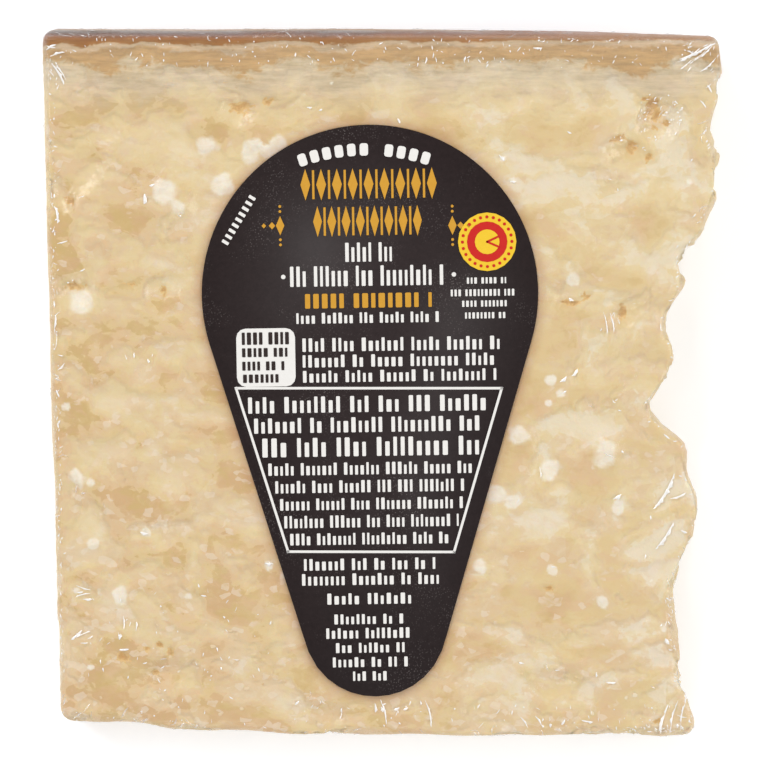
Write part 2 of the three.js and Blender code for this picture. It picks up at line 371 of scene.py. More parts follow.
# %% [markdown]
# ## Crystals and pits
#
# Crystals are little balls scattered through the whole paste. Where one meets the surface it
# shows as a white spot, so the same balls serve every side. The large ones of the photograph lie
# on the upper face in a short list, as do the amber pits, where a bit of paste was torn out. A
# search tree finds the crystals near a place quickly.

# %% Crystals through the paste, and the places where the photograph shows a large one
SHOWN_CRYSTALS = [
    (-28.8, 35.4, 2.3), (-31.6, 42.2, 2.3), (-23.8, 41.2, 2.3), (-18.9, 42.3, 1.9),
    (-21.0, 41.0, 1.7), (-38.6, 34.2, 2.7), (-36.6, 31.4, 1.7), (-54.2, 14.6, 2.5),
    (-54.9, -17.2, 1.8), (-52.6, -17.9, 1.0), (-42.9, -26.9, 1.0), (-52.3, -28.9, 1.3),
    (-20.7, -32.8, 1.0), (-47.5, -38.3, 2.0), (24.2, -9.3, 2.1), (29.5, -15.7, 2.2),
    (39.4, -12.5, 2.8), (42.0, -22.4, 1.5), (20.4, -19.9, 2.0), (23.0, -21.4, 1.5),
    (17.1, -32.7, 1.6), (30.2, -33.7, 1.1), (39.2, -39.3, 1.3), (54.4, 35.8, 0.8),
    (21.1, 39.8, 0.7), (22.9, 35.9, 0.7), (50.4, -44.1, 0.8), (50.8, -46.6, 0.7), (29.8, 0.4, 1.2),
    (31.6, -1.6, 1.0), (29.4, -3.6, 0.9), (-57.0, -4.2, 1.0), (33.6, 18.4, 1.4),
]
SHOWN_PITS = [
    (-56.2, 32.6, 0.95, 0.85), (-55.1, 17.2, 1.9, 0.75), (-39.4, 16.4, 0.9, 1.1),
    (-45.2, 17.6, 1.2, 0.5), (-25.3, 49.0, 2.2, 1.2), (-20.8, 49.8, 1.2, 0.7),
    (47.9, 48.4, 1.5, 2.6), (46.4, 50.2, 1.0, 0.6), (41.8, 43.4, 1.7, 0.7), (43.9, 41.8, 1.0, 1.4),
    (46.9, 40.2, 0.7, 1.1), (49.8, 46.0, 0.6, 0.5), (33.4, 14.4, 2.0, 0.7), (36.0, 15.4, 1.0, 0.5),
    (42.6, 12.6, 0.7, 1.5), (-47.3, -49.6, 1.9, 1.0), (-42.6, -48.1, 0.9, 0.7),
    (-38.6, -48.4, 0.9, 0.8), (-40.6, -47.4, 0.6, 0.5), (29.6, -37.0, 1.2, 0.7),
    (49.6, -61.0, 1.2, 0.6), (-41.0, -52.4, 0.8, 0.5),
]
CRYSTALS_IN_PASTE = 420
CRYSTAL_RADII = (0.35, 1.1)
SMALL_ONES_COMMON = 2.5
RIND_WITHOUT_CRYSTALS = 8 * MM
LARGEST_CRYSTAL = 3 * MM

random.seed(5)
crystals = [(Vector((x, y, 0)) * MM, radius * MM) for x, y, radius in SHOWN_CRYSTALS]
for centre, _radius in crystals:
    centre.z = slope_height(centre.y)
for _ in range(CRYSTALS_IN_PASTE):
    x = random.uniform(chunk_low.x, chunk_high.x)
    y = random.uniform(chunk_low.y, chunk_high.y - RIND_WITHOUT_CRYSTALS)
    z = random.uniform(0, slope_height(y))
    largeness = random.random() ** SMALL_ONES_COMMON
    radius = CRYSTAL_RADII[0] + (CRYSTAL_RADII[1] - CRYSTAL_RADII[0]) * largeness
    crystals.append((Vector((x, y, z)), radius * MM))
crystal_tree = kdtree.KDTree(len(crystals))
for index, (centre, _radius) in enumerate(crystals):
    crystal_tree.insert(centre, index)
crystal_tree.balance()
print(len(crystals), "crystals")

# %% How far a place is inside a crystal or a pit
CRYSTAL_RAGGED = ((0.4, 1.2), (0.18, 0.5))  # strength and wave length of the noise, in radii
CRYSTAL_FADE = (0.4, 1.25)
PIT_RAGGED = ((0.7, 1.1 * MM), (0.4, 0.5 * MM))  # the same for a pit, with wave lengths in metres
PIT_FADE = (0.4, 1.15)
ON_TOP = 0.5  # the upward part of a normal from which a vertex counts as the labelled face


def unevenness(place, waves, scale=1.0):
    """Noise of a few wave lengths, added up."""
    return sum(strength * noise.noise(place / (length * scale)) for strength, length in waves)


def crystal_at(place):
    """1 inside a crystal and 0 outside it, with a slightly ragged rim."""
    found = 0.0
    for _centre, index, distance in crystal_tree.find_range(place, LARGEST_CRYSTAL):
        radius = crystals[index][1]
        ragged = unevenness(place, CRYSTAL_RAGGED, radius)
        found = max(found, 1 - smooth_step(distance / radius + ragged, *CRYSTAL_FADE))
    return found


def pit_at(place, normal):
    """Depth from 0 to 1 of the deep amber pits in the labelled face."""
    if normal.z < ON_TOP:
        return 0.0
    found = 0.0
    for x, y, half_x, half_y in SHOWN_PITS:
        across = (place.x / MM - x) / half_x
        along = (place.y / MM - y) / half_y
        if abs(across) < 2 and abs(along) < 2:
            ragged = unevenness(place, PIT_RAGGED)
            found = max(found, 1 - smooth_step(math.hypot(across, along) + ragged, *PIT_FADE))
    return found


print("pits:", len(SHOWN_PITS))

# %% [markdown]
# ## Carving the cheese
#
# Every vertex moves inwards only, so the film, which is the skin itself, always lies over the
# cheese. How deep the flakes go depends on the side: a broken side is rough and a knife-cut one
# is nearly flat.

# %% Depths of the relief on each side, in millimetres
FLAKE_DEPTH = {"face": 0.55, "back": 0.7, "broken": 1.2, "cut": 0.15, "rind": 0.05, "tip": 1.0}
SWELL_DEPTH = {"face": 0.2, "back": 0.2, "broken": 0.6, "cut": 0.1, "rind": 0.1, "tip": 0.5}
GRAIN_DEPTH = {"face": 0.06, "back": 0.1, "broken": 0.16, "cut": 0.05, "rind": 0.06, "tip": 0.14}
PIT_DEPTH = 0.45
CRYSTAL_HEIGHT = 0.1
AIR_UNDER_FILM = 0.05
RIND_SMOOTH_TO = 3 * MM
RIND_RELIEF = 0.25
SWELL_LENGTH = 7.0
SWELL_NOISE_AT = Vector((40, 0, 0))
GRAIN_LENGTH = 0.9
PRESSED_FLAT = (-1 * MM, 3 * MM)
LABEL_SHADE_WIDTH = 2.4 * MM


def side_value(values, shares):
    """A value for a place, mixed from those of the sides that it belongs to."""
    return sum(values[side] * share for side, share in shares.items())


def carve(bm):
    """Carve the relief into the skin, and keep what the material needs on its vertices."""
    field_layer = bm.verts.layers.float.new("flake_field")
    crystal_layer = bm.verts.layers.float.new("crystal")
    pit_layer = bm.verts.layers.float.new("pit")
    label_shade_layer = bm.verts.layers.float.new("painted_label_shade")
    bm.normal_update()
    moves = []
    for vert in bm.verts:
        place_mm = vert.co / MM
        shares = side_shares(vert.normal)
        on_top = vert.normal.z > ON_TOP
        from_label = label_distance(vert.co)
        field = flake_field(place_mm) + (shown_patch(place_mm) if on_top else 0.0)
        swell = 0.5 + 0.5 * noise.noise(place_mm / SWELL_LENGTH + SWELL_NOISE_AT)
        grain = 0.5 + 0.5 * noise.noise(place_mm / GRAIN_LENGTH)
        paste = smooth_step(rind_depth(vert.co), 0.3 * RIND_SMOOTH_TO, RIND_SMOOTH_TO)
        flat = smooth_step(from_label, *PRESSED_FLAT) if on_top else 1.0
        pit = pit_at(vert.co, vert.normal)
        crystal = crystal_at(vert.co) * paste
        depth = hollow_depth(field) * side_value(FLAKE_DEPTH, shares)
        depth += swell * side_value(SWELL_DEPTH, shares)
        depth *= (RIND_RELIEF + (1 - RIND_RELIEF) * paste) * flat
        depth += grain * side_value(GRAIN_DEPTH, shares)
        depth += pit * PIT_DEPTH - crystal * CRYSTAL_HEIGHT
        vert[field_layer] = field
        vert[crystal_layer] = crystal
        vert[pit_layer] = pit
        # Painted shade beside the dark label, kept for the material.
        vert[label_shade_layer] = 1 - smooth_step(from_label, 0, LABEL_SHADE_WIDTH) if on_top else 0.0
        moves.append(vert.normal * (AIR_UNDER_FILM + max(0.0, depth)) * MM)
    for vert, move in zip(bm.verts, moves):
        vert.co -= move


carve(cheese_mesh)
cheese = new_object("cheese", cheese_mesh)
cheese_triangles = sum(len(polygon.vertices) - 2 for polygon in cheese.data.polygons)
print("cheese:", len(cheese.data.vertices), "vertices,", cheese_triangles, "triangles")

# %% [markdown]
# ## Loose crumbs
#
# Breaking the chunk off leaves crumbs, and the vacuum holds them where they fall: most lie at the
# lower left corner and along the bottom edge. Each is a small ball of few faces, pressed flat,
# turned, dented by noise and shaded flat, so that it looks broken, not round. A ray from above
# finds where it lies. The crumbs are made before the film, which has to lie over them.

# %% Crumbs under the film


def upper_face(x, y):
    """A place on the upper face above x and y in millimetres."""
    return Vector((x * MM, y * MM, slope_height(y * MM)))


def surface_tree(*pieces):
    """The surface of one or more pieces as a tree that answers where a ray hits it."""
    bm = bmesh.new()
    for piece in pieces:
        bm.from_mesh(piece.data)
    tree = BVHTree.FromBMesh(bm)
    bm.free()
    return tree


cheese_tree = surface_tree(cheese)
CRUMB_PLACES = (
    (34, (-58, -24, -60, -43)),
    (26, (-30, 52, -62, -52)),
)
CRUMB_RADII = (0.2, 0.5)
CRUMB_SHAPE = Vector((1.3, 1.0, 0.25))
CRUMB_DENTS = 0.8
CRUMB_TONES = (0.4, 0.8)
LEVEL_ENOUGH = 0.7
DROP_FROM = Vector((0, 0, 6 * MM))
DOWN = Vector((0, 0, -1))

random.seed(33)
crumb_mesh = bmesh.new()
crumb_field = crumb_mesh.verts.layers.float.new("flake_field")
crumb_count = 0
for count, (x0, x1, y0, y1) in CRUMB_PLACES:
    for _ in range(count):
        above = upper_face(random.uniform(x0, x1), random.uniform(y0, y1)) + DROP_FROM
        turn = Matrix.Rotation(random.uniform(0, math.pi), 3, "Z")
        radius = (CRUMB_RADII[0] + (CRUMB_RADII[1] - CRUMB_RADII[0]) * random.random() ** 2) * MM
        hit, normal, _face, _distance = cheese_tree.ray_cast(above, DOWN)
        if hit is None or normal.z < LEVEL_ENOUGH:
            continue
        made = bmesh.ops.create_icosphere(crumb_mesh, subdivisions=1, radius=1)["verts"]
        tone = random.uniform(*CRUMB_TONES)
        for vert in made:
            vert[crumb_field] = tone
            dent = 1 + CRUMB_DENTS * noise.noise(vert.co * 2.3 + Vector((crumb_count, 0, 0)))
            shape = vert.co * CRUMB_SHAPE * dent * radius
            vert.co = hit + turn @ shape
        crumb_count += 1
crumbs = new_object("crumbs", crumb_mesh)
crumbs.data.shade_flat()
print("crumbs:", crumb_count)

# %% [markdown]
# ## The clear film
#
# The bag is drawn tight by vacuum and a dip in hot water. It clings to every plateau and spans
# the hollows. A cloth simulation could shrink it, but there is a quicker way with the same
# result: each point of the film finds how high the cheese below it stands, then repeatedly takes
# the mean of its neighbours and never sinks below the cheese. That is how a taut skin settles
# over bumps. Each vertex also keeps how near it is to an edge of the chunk, where the film
# gathers and turns a little milky.

# %% Shrink the film on the cheese
FILM_GAP = 0.05 * MM
FILM_REACH = 3 * MM
TIGHTENING_PASSES = 14
TABLE_GAP = 0.01 * MM
EDGE_FADE = (0.08, 0.4)


def shrink_over(bm, tree):
    """Lay every vertex on the surface in the tree, taut between the high spots."""
    bm.normal_update()
    contact = []
    for vert in bm.verts:
        _hit, _normal, _face, distance = tree.ray_cast(
            vert.co + vert.normal * FILM_REACH, -vert.normal, 2.5 * FILM_REACH
        )
        contact.append(FILM_REACH - distance if distance is not None else 0.0)
    near = [[edge.other_vert(vert).index for edge in vert.link_edges] for vert in bm.verts]
    height = list(contact)
    for _ in range(TIGHTENING_PASSES):
        height = [
            max(contact[index], sum(height[other] for other in others) / len(others))
            for index, others in enumerate(near)
        ]
    for vert, lift in zip(bm.verts, height):
        vert.co += vert.normal * (lift + FILM_GAP)
        vert.co.z = max(vert.co.z, TABLE_GAP)


film_mesh = subdivided("cheese_in_film", 2)
film_mesh.verts.index_update()
film_mesh.normal_update()
edge_layer = film_mesh.verts.layers.float.new("edge_share")
for vert in film_mesh.verts:
    vert[edge_layer] = smooth_step(1 - max(part ** 2 for part in vert.normal), *EDGE_FADE)
shrink_over(film_mesh, surface_tree(cheese, crumbs))
film = new_object("shrink_film", film_mesh)
film_tree = surface_tree(film)
print("film:", len(film.data.vertices), "vertices")

# %% [markdown]
# ## Creases in the film
#
# Where the film has to get round a corner it gathers into fine stiff pleats, and each catches the
# light as a white streak. Much of that white is painted highlight: the pleats' material is milky
# white from every side. A pleat is a low tent: three rows of vertices, the middle one raised
# and all of them laid on the film. Its sides slope by about 40 degrees, steep enough to catch
# light from low at the side. Noise makes its width and its path uneven, like those of a real one.

# %% Low tents along short paths
RIDGE_HEIGHT = 0.4  # as a share of the width of the pleat
CREASE_LIFT = 0.03 * MM
CREASE_STEP = 0.35 * MM
UNREST_LENGTH = 0.5 * MM
WANDER = 0.35
TAPER_START = 0.04
BLUNTNESS = 0.6
WIDTH_MEAN = 0.75
WIDTH_UNREST = 0.9


def on_film(place):
    """The nearest place on the film, and the direction that it faces there."""
    location, normal, _face, _distance = film_tree.find_nearest(place)
    return location, normal


def add_crease(bm, start, end, width, bend=0.0):
    """A pleat from start to end on the film, in metres, that narrows to nothing at both ends."""
    steps = max(3, int((end - start).length / CREASE_STEP))
    made = bmesh.ops.create_grid(bm, x_segments=steps, y_segments=2, size=0.5)["verts"]
    for vert in made:
        along, across = vert.co.x + 0.5, vert.co.y * 2
        place = start.lerp(end, along)
        _location, normal = on_film(place)
        sideways = normal.cross(end - start).normalized()
        unrest = noise.noise(place / UNREST_LENGTH)
        place += sideways * (bend * math.sin(math.pi * along) + WANDER * width * unrest)
        swing = math.pi * (TAPER_START + (1 - 2 * TAPER_START) * along)
        half = 0.5 * width * math.sin(swing) ** BLUNTNESS * (WIDTH_MEAN + WIDTH_UNREST * unrest)
        location, normal = on_film(place + sideways * across * half)
        ridge = 2 * half * RIDGE_HEIGHT * (1 - abs(across))
        vert.co = location + normal * (CREASE_LIFT + ridge)


print("a crease is made in steps of", round(CREASE_STEP / MM, 2), "mm")

# %% [markdown]
# ## Creases and glints that the photograph shows
#
# The clearest streaks are at the upper corners, on the broken edge and at the lower right. Each
# row has a start, an end and a width in millimetres, read off the photograph. The short rows are
# glints on rims of flakes and bubbles.

# %% Rows of the shown creases
CREASE_BEND = 0.06
SHOWN_CREASES = [
    (-60.0, 59.0, -58.1, 59.9, 0.5), (-59.2, 57.8, -56.6, 58.6, 0.5),
    (-58.9, 56.6, -56.9, 52.9, 0.5), (-58.2, 56.2, -56.4, 53.6, 0.35),
    (58.9, 60.8, 52.4, 57.3, 0.5), (58.1, 59.7, 54.2, 56.6, 0.4), (58.8, 57.6, 56.0, 55.1, 0.4),
    (57.4, 52.9, 58.1, 51.6, 0.4), (56.0, 50.2, 57.1, 48.8, 0.3), (39.2, 12.7, 39.8, 8.8, 0.3),
    (40.5, 12.4, 41.1, 9.0, 0.3), (-55.6, -38.5, -52.9, -37.9, 0.3),
    (-55.5, -45.9, -53.0, -44.8, 0.3), (24.6, -60.3, 26.0, -62.3, 0.3),
    (27.3, -60.1, 28.7, -62.3, 0.3), (-0.7, -57.2, 0.4, -61.7, 0.3), (7.4, -57.2, 8.5, -62.1, 0.3),
    (49.9, -63.6, 51.3, -58.1, 0.5), (51.7, -63.6, 53.1, -57.2, 0.4),
    (53.5, -63.0, 54.9, -56.1, 0.4), (52.2, -16.4, 48.5, -22.6, 0.7), (52, -25.1, 48.9, -29.9, 0.7),
    (-58.5, 31.7, -58.1, 28.5, 0.7), (55.9, 59.3, 52.1, 56.8, 0.4),
    (-47.8, -44.8, -47.7, -46.2, 0.5), (-42.6, 33.7, -42.6, 31.9, 0.7),
    (-44.7, 5.4, -44.7, 4.5, 0.5), (41.8, -54, 40.1, -54, 0.6), (32.7, 1.1, 31.5, 0.1, 0.6),
    (-46, -47.9, -47.7, -48, 0.6), (54.2, -19.7, 51.3, -20.8, 0.4), (42.6, -20, 41.2, -20.9, 0.7),
    (-54.5, -44.6, -56.4, -46.2, 0.6), (-40.7, 35.4, -41.7, 35.1, 0.5),
    (54.7, -60.4, 52.9, -59.9, 0.3), (-52.6, -38.9, -54.2, -38.9, 0.5),
    (37.7, -61.2, 35.7, -60.9, 0.6), (2.8, -58.7, 1.8, -59, 0.6), (-52.8, -37.2, -55.4, -36.4, 0.3),
    (-44.7, -43, -44.7, -44.6, 0.3), (38.3, -52.1, 38.3, -53, 0.5), (-58.2, 59.4, -59.9, 59.7, 0.3),
    (-58.7, -1.2, -58.3, -2.2, 0.4), (32.8, -60.7, 32, -61.6, 0.6), (50.6, -46, 51.3, -46.9, 0.6),
    (54.5, -26.9, 53.3, -26.5, 0.5), (-42.4, -27.2, -43.8, -26.8, 0.6),
    (-19.9, -32.5, -21.4, -32.4, 0.6), (57, 58.9, 54.4, 57, 0.3), (-56.4, 25.4, -58.2, 24.9, 0.3),
    (51.2, -9.9, 50.2, -9.1, 0.4), (-57.1, 3.6, -58.4, 2.3, 0.3), (20.5, 40.6, 21.3, 39.5, 0.7),
    (-58.7, 12.2, -58.9, 9.8, 0.4), (25.2, -50.7, 24.4, -50.3, 0.5),
    (-12.8, 48.8, -13.7, 48.9, 0.6), (-47, -42, -46.9, -44.3, 0.3), (28, 59.4, 26.4, 59.4, 0.4),
    (34.6, 2.5, 33.6, 1.2, 0.5), (2.4, 47, 2.8, 46.1, 0.5), (-42.7, -50.4, -43.5, -50.6, 0.4),
    (58.1, 53.1, 57.1, 52.4, 0.3), (23.5, 35.8, 22.5, 35.9, 0.5), (-53.3, 20.3, -54.2, 19.9, 0.3),
    (-58.5, 8.6, -58.8, 6.1, 0.25), (-59.5, 55.4, -58.5, 54.2, 0.25),
    (-53.4, -46.7, -54.7, -46.8, 0.3), (32.6, -1.3, 31.8, -1.9, 0.4),
    (-58.6, -7.2, -58.4, -8.1, 0.5), (8.8, 58.6, 8.6, 57.6, 0.3), (29.9, -61.5, 30.1, -62.2, 0.4),
    (-1.6, -57.8, -1.6, -59.5, 0.5), (33.8, 14.7, 33.1, 15.2, 0.5), (42.2, 11.6, 42.2, 10.7, 0.3),
    (-58.7, 27.9, -59.1, 26.8, 0.3), (54.4, 57.1, 52.5, 55.7, 0.3), (-53.4, 33.4, -54.5, 33.2, 0.4),
    (4.3, -58.6, 3.5, -59, 0.5), (7.5, 57.8, 7.3, 56.6, 0.25), (-54.2, -37.5, -55.3, -37.7, 0.3),
    (-20.4, -42.9, -20.6, -43.6, 0.4), (-42.3, 4.3, -42.1, 3.6, 0.4),
    (-28.2, -42.5, -27.9, -43.1, 0.3), (-32, -38.3, -33, -38.2, 0.4), (4.8, -57.4, 4.5, -58.2, 0.3),
    (-58.2, 21.1, -59, 21.5, 0.25), (31.1, -33.1, 30.1, -32.9, 0.3), (-58.9, 9.8, -58.8, 8.8, 0.25),
    (55.5, 30.2, 54.7, 29.3, 0.3), (28, -15.1, 28.2, -16.9, 0.3), (53.6, -16.8, 52.9, -16.7, 0.3),
    (51, -42.9, 50.7, -43.7, 0.5), (-59.1, 51.1, -59.6, 51.5, 0.3), (54.6, 59.7, 53.7, 59.5, 0.25),
    (-57.3, 4.9, -58.3, 5.1, 0.25), (-45.7, -43, -45.9, -43.8, 0.25),
    (57.4, 60.2, 56.5, 59.6, 0.25), (54.1, -62.1, 53.6, -62.7, 0.3), (49.4, 10.6, 49.5, 9.4, 0.25),
    (6.6, -57.3, 6.6, -58.1, 0.3), (47.3, 46.6, 47, 46.9, 0.3), (-27.9, -49.2, -28.1, -49.7, 0.25),
    (20.9, -58.9, 20.3, -59.7, 0.3), (42.5, -5.1, 41.9, -4.9, 0.3), (10.5, 58.6, 10, 58.8, 0.25),
    (-11, 48.7, -11.6, 48.3, 0.3), (24.3, -20.7, 23.8, -21.7, 0.3), (-0.6, -58.5, -0.2, -59.5, 0.3),
    (52.4, 24.6, 52, 23.9, 0.3), (14.4, 57.9, 14.1, 57.1, 0.25), (-56.1, 17.3, -56.4, 17.6, 0.3),
    (53.4, -61.9, 52.7, -61.7, 0.25), (-57.2, -30.5, -57.7, -30.7, 0.3),
    (47.8, -23.8, 47.9, -24.5, 0.4), (28.7, -60.5, 28.6, -61.1, 0.3), (52.5, 22.6, 52.1, 22.1, 0.3),
    (-29, -42, -28.7, -42.4, 0.3), (-58.9, 14.7, -58.9, 13.5, 0.25), (54.4, 56, 53.8, 55.2, 0.25),
    (-58.4, -18.4, -58.3, -19.4, 0.25), (50.1, -43.3, 49.7, -43.8, 0.3),
    (47, -30.7, 46.9, -31.6, 0.25), (33.3, 44.4, 32.5, 44.7, 0.3), (31.6, -51.9, 30.8, -51.9, 0.3),
    (-59, 22.8, -59.1, 22.2, 0.3), (-15.4, -57.6, -16.1, -58.2, 0.4), (-46.3, 5, -46, 4.2, 0.25),
    (-11.5, -57.6, -11.5, -58.2, 0.3), (29.9, -16.7, 30, -17.3, 0.4),
    (-52.5, -45.5, -53.5, -46.1, 0.25), (-24.4, 59.6, -24.7, 59.3, 0.3),
    (-41.4, 5.2, -41.5, 4.7, 0.25), (-26.1, -49.9, -27.4, -49.7, 0.25),
    (0.3, -57.9, -0.2, -58.1, 0.3), (38.9, 9.8, 38.6, 9.3, 0.3), (47.9, -6.7, 47.2, -7, 0.25),
    (-55.4, 18.1, -55.7, 17.8, 0.3), (41.5, 12.3, 41.4, 11.8, 0.25),
    (52.5, -62.8, 51.6, -63.1, 0.25), (53, -31.1, 53.2, -31.6, 0.25),
]

crease_mesh = bmesh.new()
# Each of these pleats is drawn milky white, so its streak or glint is largely a painted highlight.
for x0, y0, x1, y1, width in SHOWN_CREASES:
    bend = CREASE_BEND * MM * math.hypot(x1 - x0, y1 - y0)
    add_crease(crease_mesh, upper_face(x0, y0), upper_face(x1, y1), width * MM, bend)
print("creases that the photograph shows:", len(SHOWN_CREASES))

# %% [markdown]
# ## Pleats and glints all round
#
# The rest of the edges need pleats too, though no two photographs would agree on them, so they
# are scattered. Along the rind, the cut side and the foot there are also hundreds of short
# glints, which run up and down the picture. Each has only a few faces.

# %% A pleat at a random place
PLEAT_LENGTHS = (0.6, 2.6)
GLINT_LENGTHS = (0.3, 0.9)
PLEAT_WIDTHS = (0.15, 0.4)
PLEAT_SPREAD = 0.6
PLEAT_BEND = 0.15


def random_pleat(bm, place, normal, lengths):
    """A pleat at a place, mostly running over the edge towards the middle of the chunk."""
    inwards = Vector((-place.x, -place.y, 0)).normalized()
    turn = Matrix.Rotation(random.gauss(0, PLEAT_SPREAD), 3, normal)
    direction = turn @ inwards
    direction = (direction - normal * direction.dot(normal)).normalized()
    length = random.uniform(*lengths) * MM
    width = random.uniform(*PLEAT_WIDTHS) * MM
    add_crease(bm, place, place + direction * length, width, random.gauss(0, PLEAT_BEND) * length)


print("pleats are", PLEAT_LENGTHS, "mm long")

# %% Short glints along three edges
SHORT_GLINT_LENGTHS = (0.2, 0.9)
SHORT_GLINT_WIDTHS = (0.12, 0.3)
GLINT_AREAS = (
    (150, (-58.5, 58.5, 55.8, 61.6)),
    (150, (-59.8, -58.0, -56.0, 58.0)),
    (60, (-56.0, 52.0, -63.0, -58.5)),
    (50, (-57.0, -20.0, -58.0, -36.0)),
)
random.seed(21)
# These glints are pale pleats: painted highlights.
for count, (x0, x1, y0, y1) in GLINT_AREAS:
    for _ in range(count):
        x = random.uniform(x0, x1)
        y = random.uniform(y0, y1)
        turn = random.gauss(math.pi / 2, PLEAT_SPREAD)
        length = random.uniform(*SHORT_GLINT_LENGTHS)
        end = upper_face(x + length * math.cos(turn), y + length * math.sin(turn))
        width = random.uniform(*SHORT_GLINT_WIDTHS) * MM
        add_crease(crease_mesh, upper_face(x, y), end, width)
print("short glints:", sum(count for count, _area in GLINT_AREAS))

# %% Pleats along every edge and on the walls
EDGE_PLEATS = 170
WALL_PLEATS = 260
BROKEN_EDGE_GLINTS = 160
WALL_BELOW = 0.25  # the upward part of a normal, on walls and on the broad faces
FACE_ABOVE = 0.92
BROKEN_FROM_X = 40 * MM

edge_places = []
wall_places = []
for polygon in film.data.polygons:
    spot = (polygon.center.copy(), polygon.normal.copy())
    if WALL_BELOW < abs(polygon.normal.z) < FACE_ABOVE:
        edge_places.append(spot)
    elif abs(polygon.normal.z) <= WALL_BELOW:
        wall_places.append(spot)
broken_edge = [
    (place, normal) for place, normal in edge_places
    if place.x > BROKEN_FROM_X and normal.z > LEVEL_ENOUGH
]
for place, normal in random.sample(broken_edge, BROKEN_EDGE_GLINTS):
    random_pleat(crease_mesh, place, normal, GLINT_LENGTHS)
shown_faces = len(crease_mesh.faces)
for place, normal in random.sample(edge_places, EDGE_PLEATS):
    random_pleat(crease_mesh, place, normal, PLEAT_LENGTHS)
for place, normal in random.sample(wall_places, WALL_PLEATS):
    random_pleat(crease_mesh, place, normal, PLEAT_LENGTHS)
print("pleats on the edges and walls:", EDGE_PLEATS + WALL_PLEATS)

# %% [markdown]
# ## Bubbles
#
# A few tiny bubbles of air stay between film and cheese. Each is a low dome on the film, made
# from a small ball that is pressed flatter and turned to stand on the film. It takes the milky
# white of the creases, so its glint is a painted highlight.

# %% Tiny bubbles of trapped air, each with a painted glint
BUBBLE_PLACES = (
    (30, (-58.5, 58.5, 56.0, 61.0)),
    (30, (-59.1, -58.3, -50, 58)),
    (30, (-56, 54, -62.5, -58.5)),
)
BUBBLE_RADII = (0.07, 0.17)
BUBBLE_FLATNESS = 0.55
SWARM_LENGTH = 6 * MM
SWARM_FROM = -0.05
KEPT_FREE_BY_LABEL = 2 * MM
for count, (x0, x1, y0, y1) in BUBBLE_PLACES:
    for _ in range(count):
        location, normal = on_film(upper_face(random.uniform(x0, x1), random.uniform(y0, y1)))
        radius = random.uniform(*BUBBLE_RADII) * MM
        lonely = noise.noise(location / SWARM_LENGTH) < SWARM_FROM
        if lonely or label_distance(location) < KEPT_FREE_BY_LABEL:
            continue
        for vert in bmesh.ops.create_icosphere(crease_mesh, subdivisions=2, radius=radius)["verts"]:
            vert.co.z *= BUBBLE_FLATNESS
            vert.co = location + normal.to_track_quat("Z", "Y") @ vert.co
crease_mesh.faces.ensure_lookup_table()
# Bubbles, whose faces are triangles, take the first, whitest material: painted highlight. The
# scattered pleats take the second, which is partly painted highlight too.
for face in crease_mesh.faces[shown_faces:]:
    face.material_index = 0 if len(face.verts) == 3 else 1
creases = new_object("film_creases", crease_mesh)
print("creases, pleats and bubbles:", len(creases.data.polygons), "faces")

# %% [markdown]
# ## The label
#
# A die-cut paper label a tenth of a millimetre thick. It starts as a circle that is inset again
# and again, which gives rings for it to bend along, and each vertex then goes from the circle to
# the same place in the teardrop. Stiff paper follows only the broad swells of the film, so its
# heights above the wedge's slope are smoothed before it gets its thickness, and it is lifted
# until it clears the film.

# %% Rings of the label, laid on the film
LABEL_SIDES = 160
LABEL_RINGS = 22
LABEL_THICKNESS = 0.1 * MM
LABEL_MIDDLE = (0, -14)
PAPER_EDGE = 0.007
LABEL_STIFFNESS = 60
LABEL_GAP = 0.01 * MM
REACH_LIMITS = (5.0, 70.0)
HALVINGS = 24
RAY_HEIGHT = 0.1


def outline_radius(direction):
    """How far the label reaches from its middle in one direction, in millimetres."""
    low, high = REACH_LIMITS
    for _ in range(HALVINGS):
        half = (low + high) / 2
        x = LABEL_MIDDLE[0] + direction.x * half
        y = LABEL_MIDDLE[1] + direction.y * half
        if label_distance(label_to_frame(x * MM, y * MM)) < 0:
            low = half
        else:
            high = half
    return low


def drop_on(tree, x, y):
    """Height of the highest surface of the tree below x and y, in metres."""
    hit, _normal, _face, _distance = tree.ray_cast(Vector((x, y, RAY_HEIGHT)), DOWN)
    return hit.z


label_mesh = bmesh.new()
bmesh.ops.create_circle(label_mesh, cap_ends=True, radius=1, segments=LABEL_SIDES)
label_mesh.faces.ensure_lookup_table()
inner = label_mesh.faces[0]
bmesh.ops.inset_region(label_mesh, faces=[inner], thickness=PAPER_EDGE)
for _ in range(LABEL_RINGS):
    bmesh.ops.inset_region(
        label_mesh, faces=[inner], thickness=(1 - PAPER_EDGE) / (LABEL_RINGS + 1)
    )
bmesh.ops.poke(label_mesh, faces=[inner])
reaches = {}
for vert in label_mesh.verts:
    radius = vert.co.length
    if radius < 1e-6:
        place = label_to_frame(LABEL_MIDDLE[0] * MM, LABEL_MIDDLE[1] * MM)
    else:
        direction = vert.co.xy.normalized()
        key = round(math.atan2(direction.y, direction.x), 3)
        reaches.setdefault(key, outline_radius(direction))
        x = LABEL_MIDDLE[0] + direction.x * radius * reaches[key]
        y = LABEL_MIDDLE[1] + direction.y * radius * reaches[key]
        place = label_to_frame(x * MM, y * MM)
    vert.co = (place.x, place.y, drop_on(film_tree, place.x, place.y) - slope_height(place.y))
for _ in range(LABEL_STIFFNESS):
    bmesh.ops.smooth_vert(label_mesh, verts=label_mesh.verts, factor=0.5, use_axis_z=True)
for vert in label_mesh.verts:
    vert.co.z += slope_height(vert.co.y)
sunk = max(drop_on(film_tree, vert.co.x, vert.co.y) - vert.co.z for vert in label_mesh.verts)
bmesh.ops.translate(label_mesh, verts=label_mesh.verts, vec=(0, 0, sunk + LABEL_GAP))
label_mesh.normal_update()
print("label lifted by", round(sunk / MM, 2), "mm to clear the film")
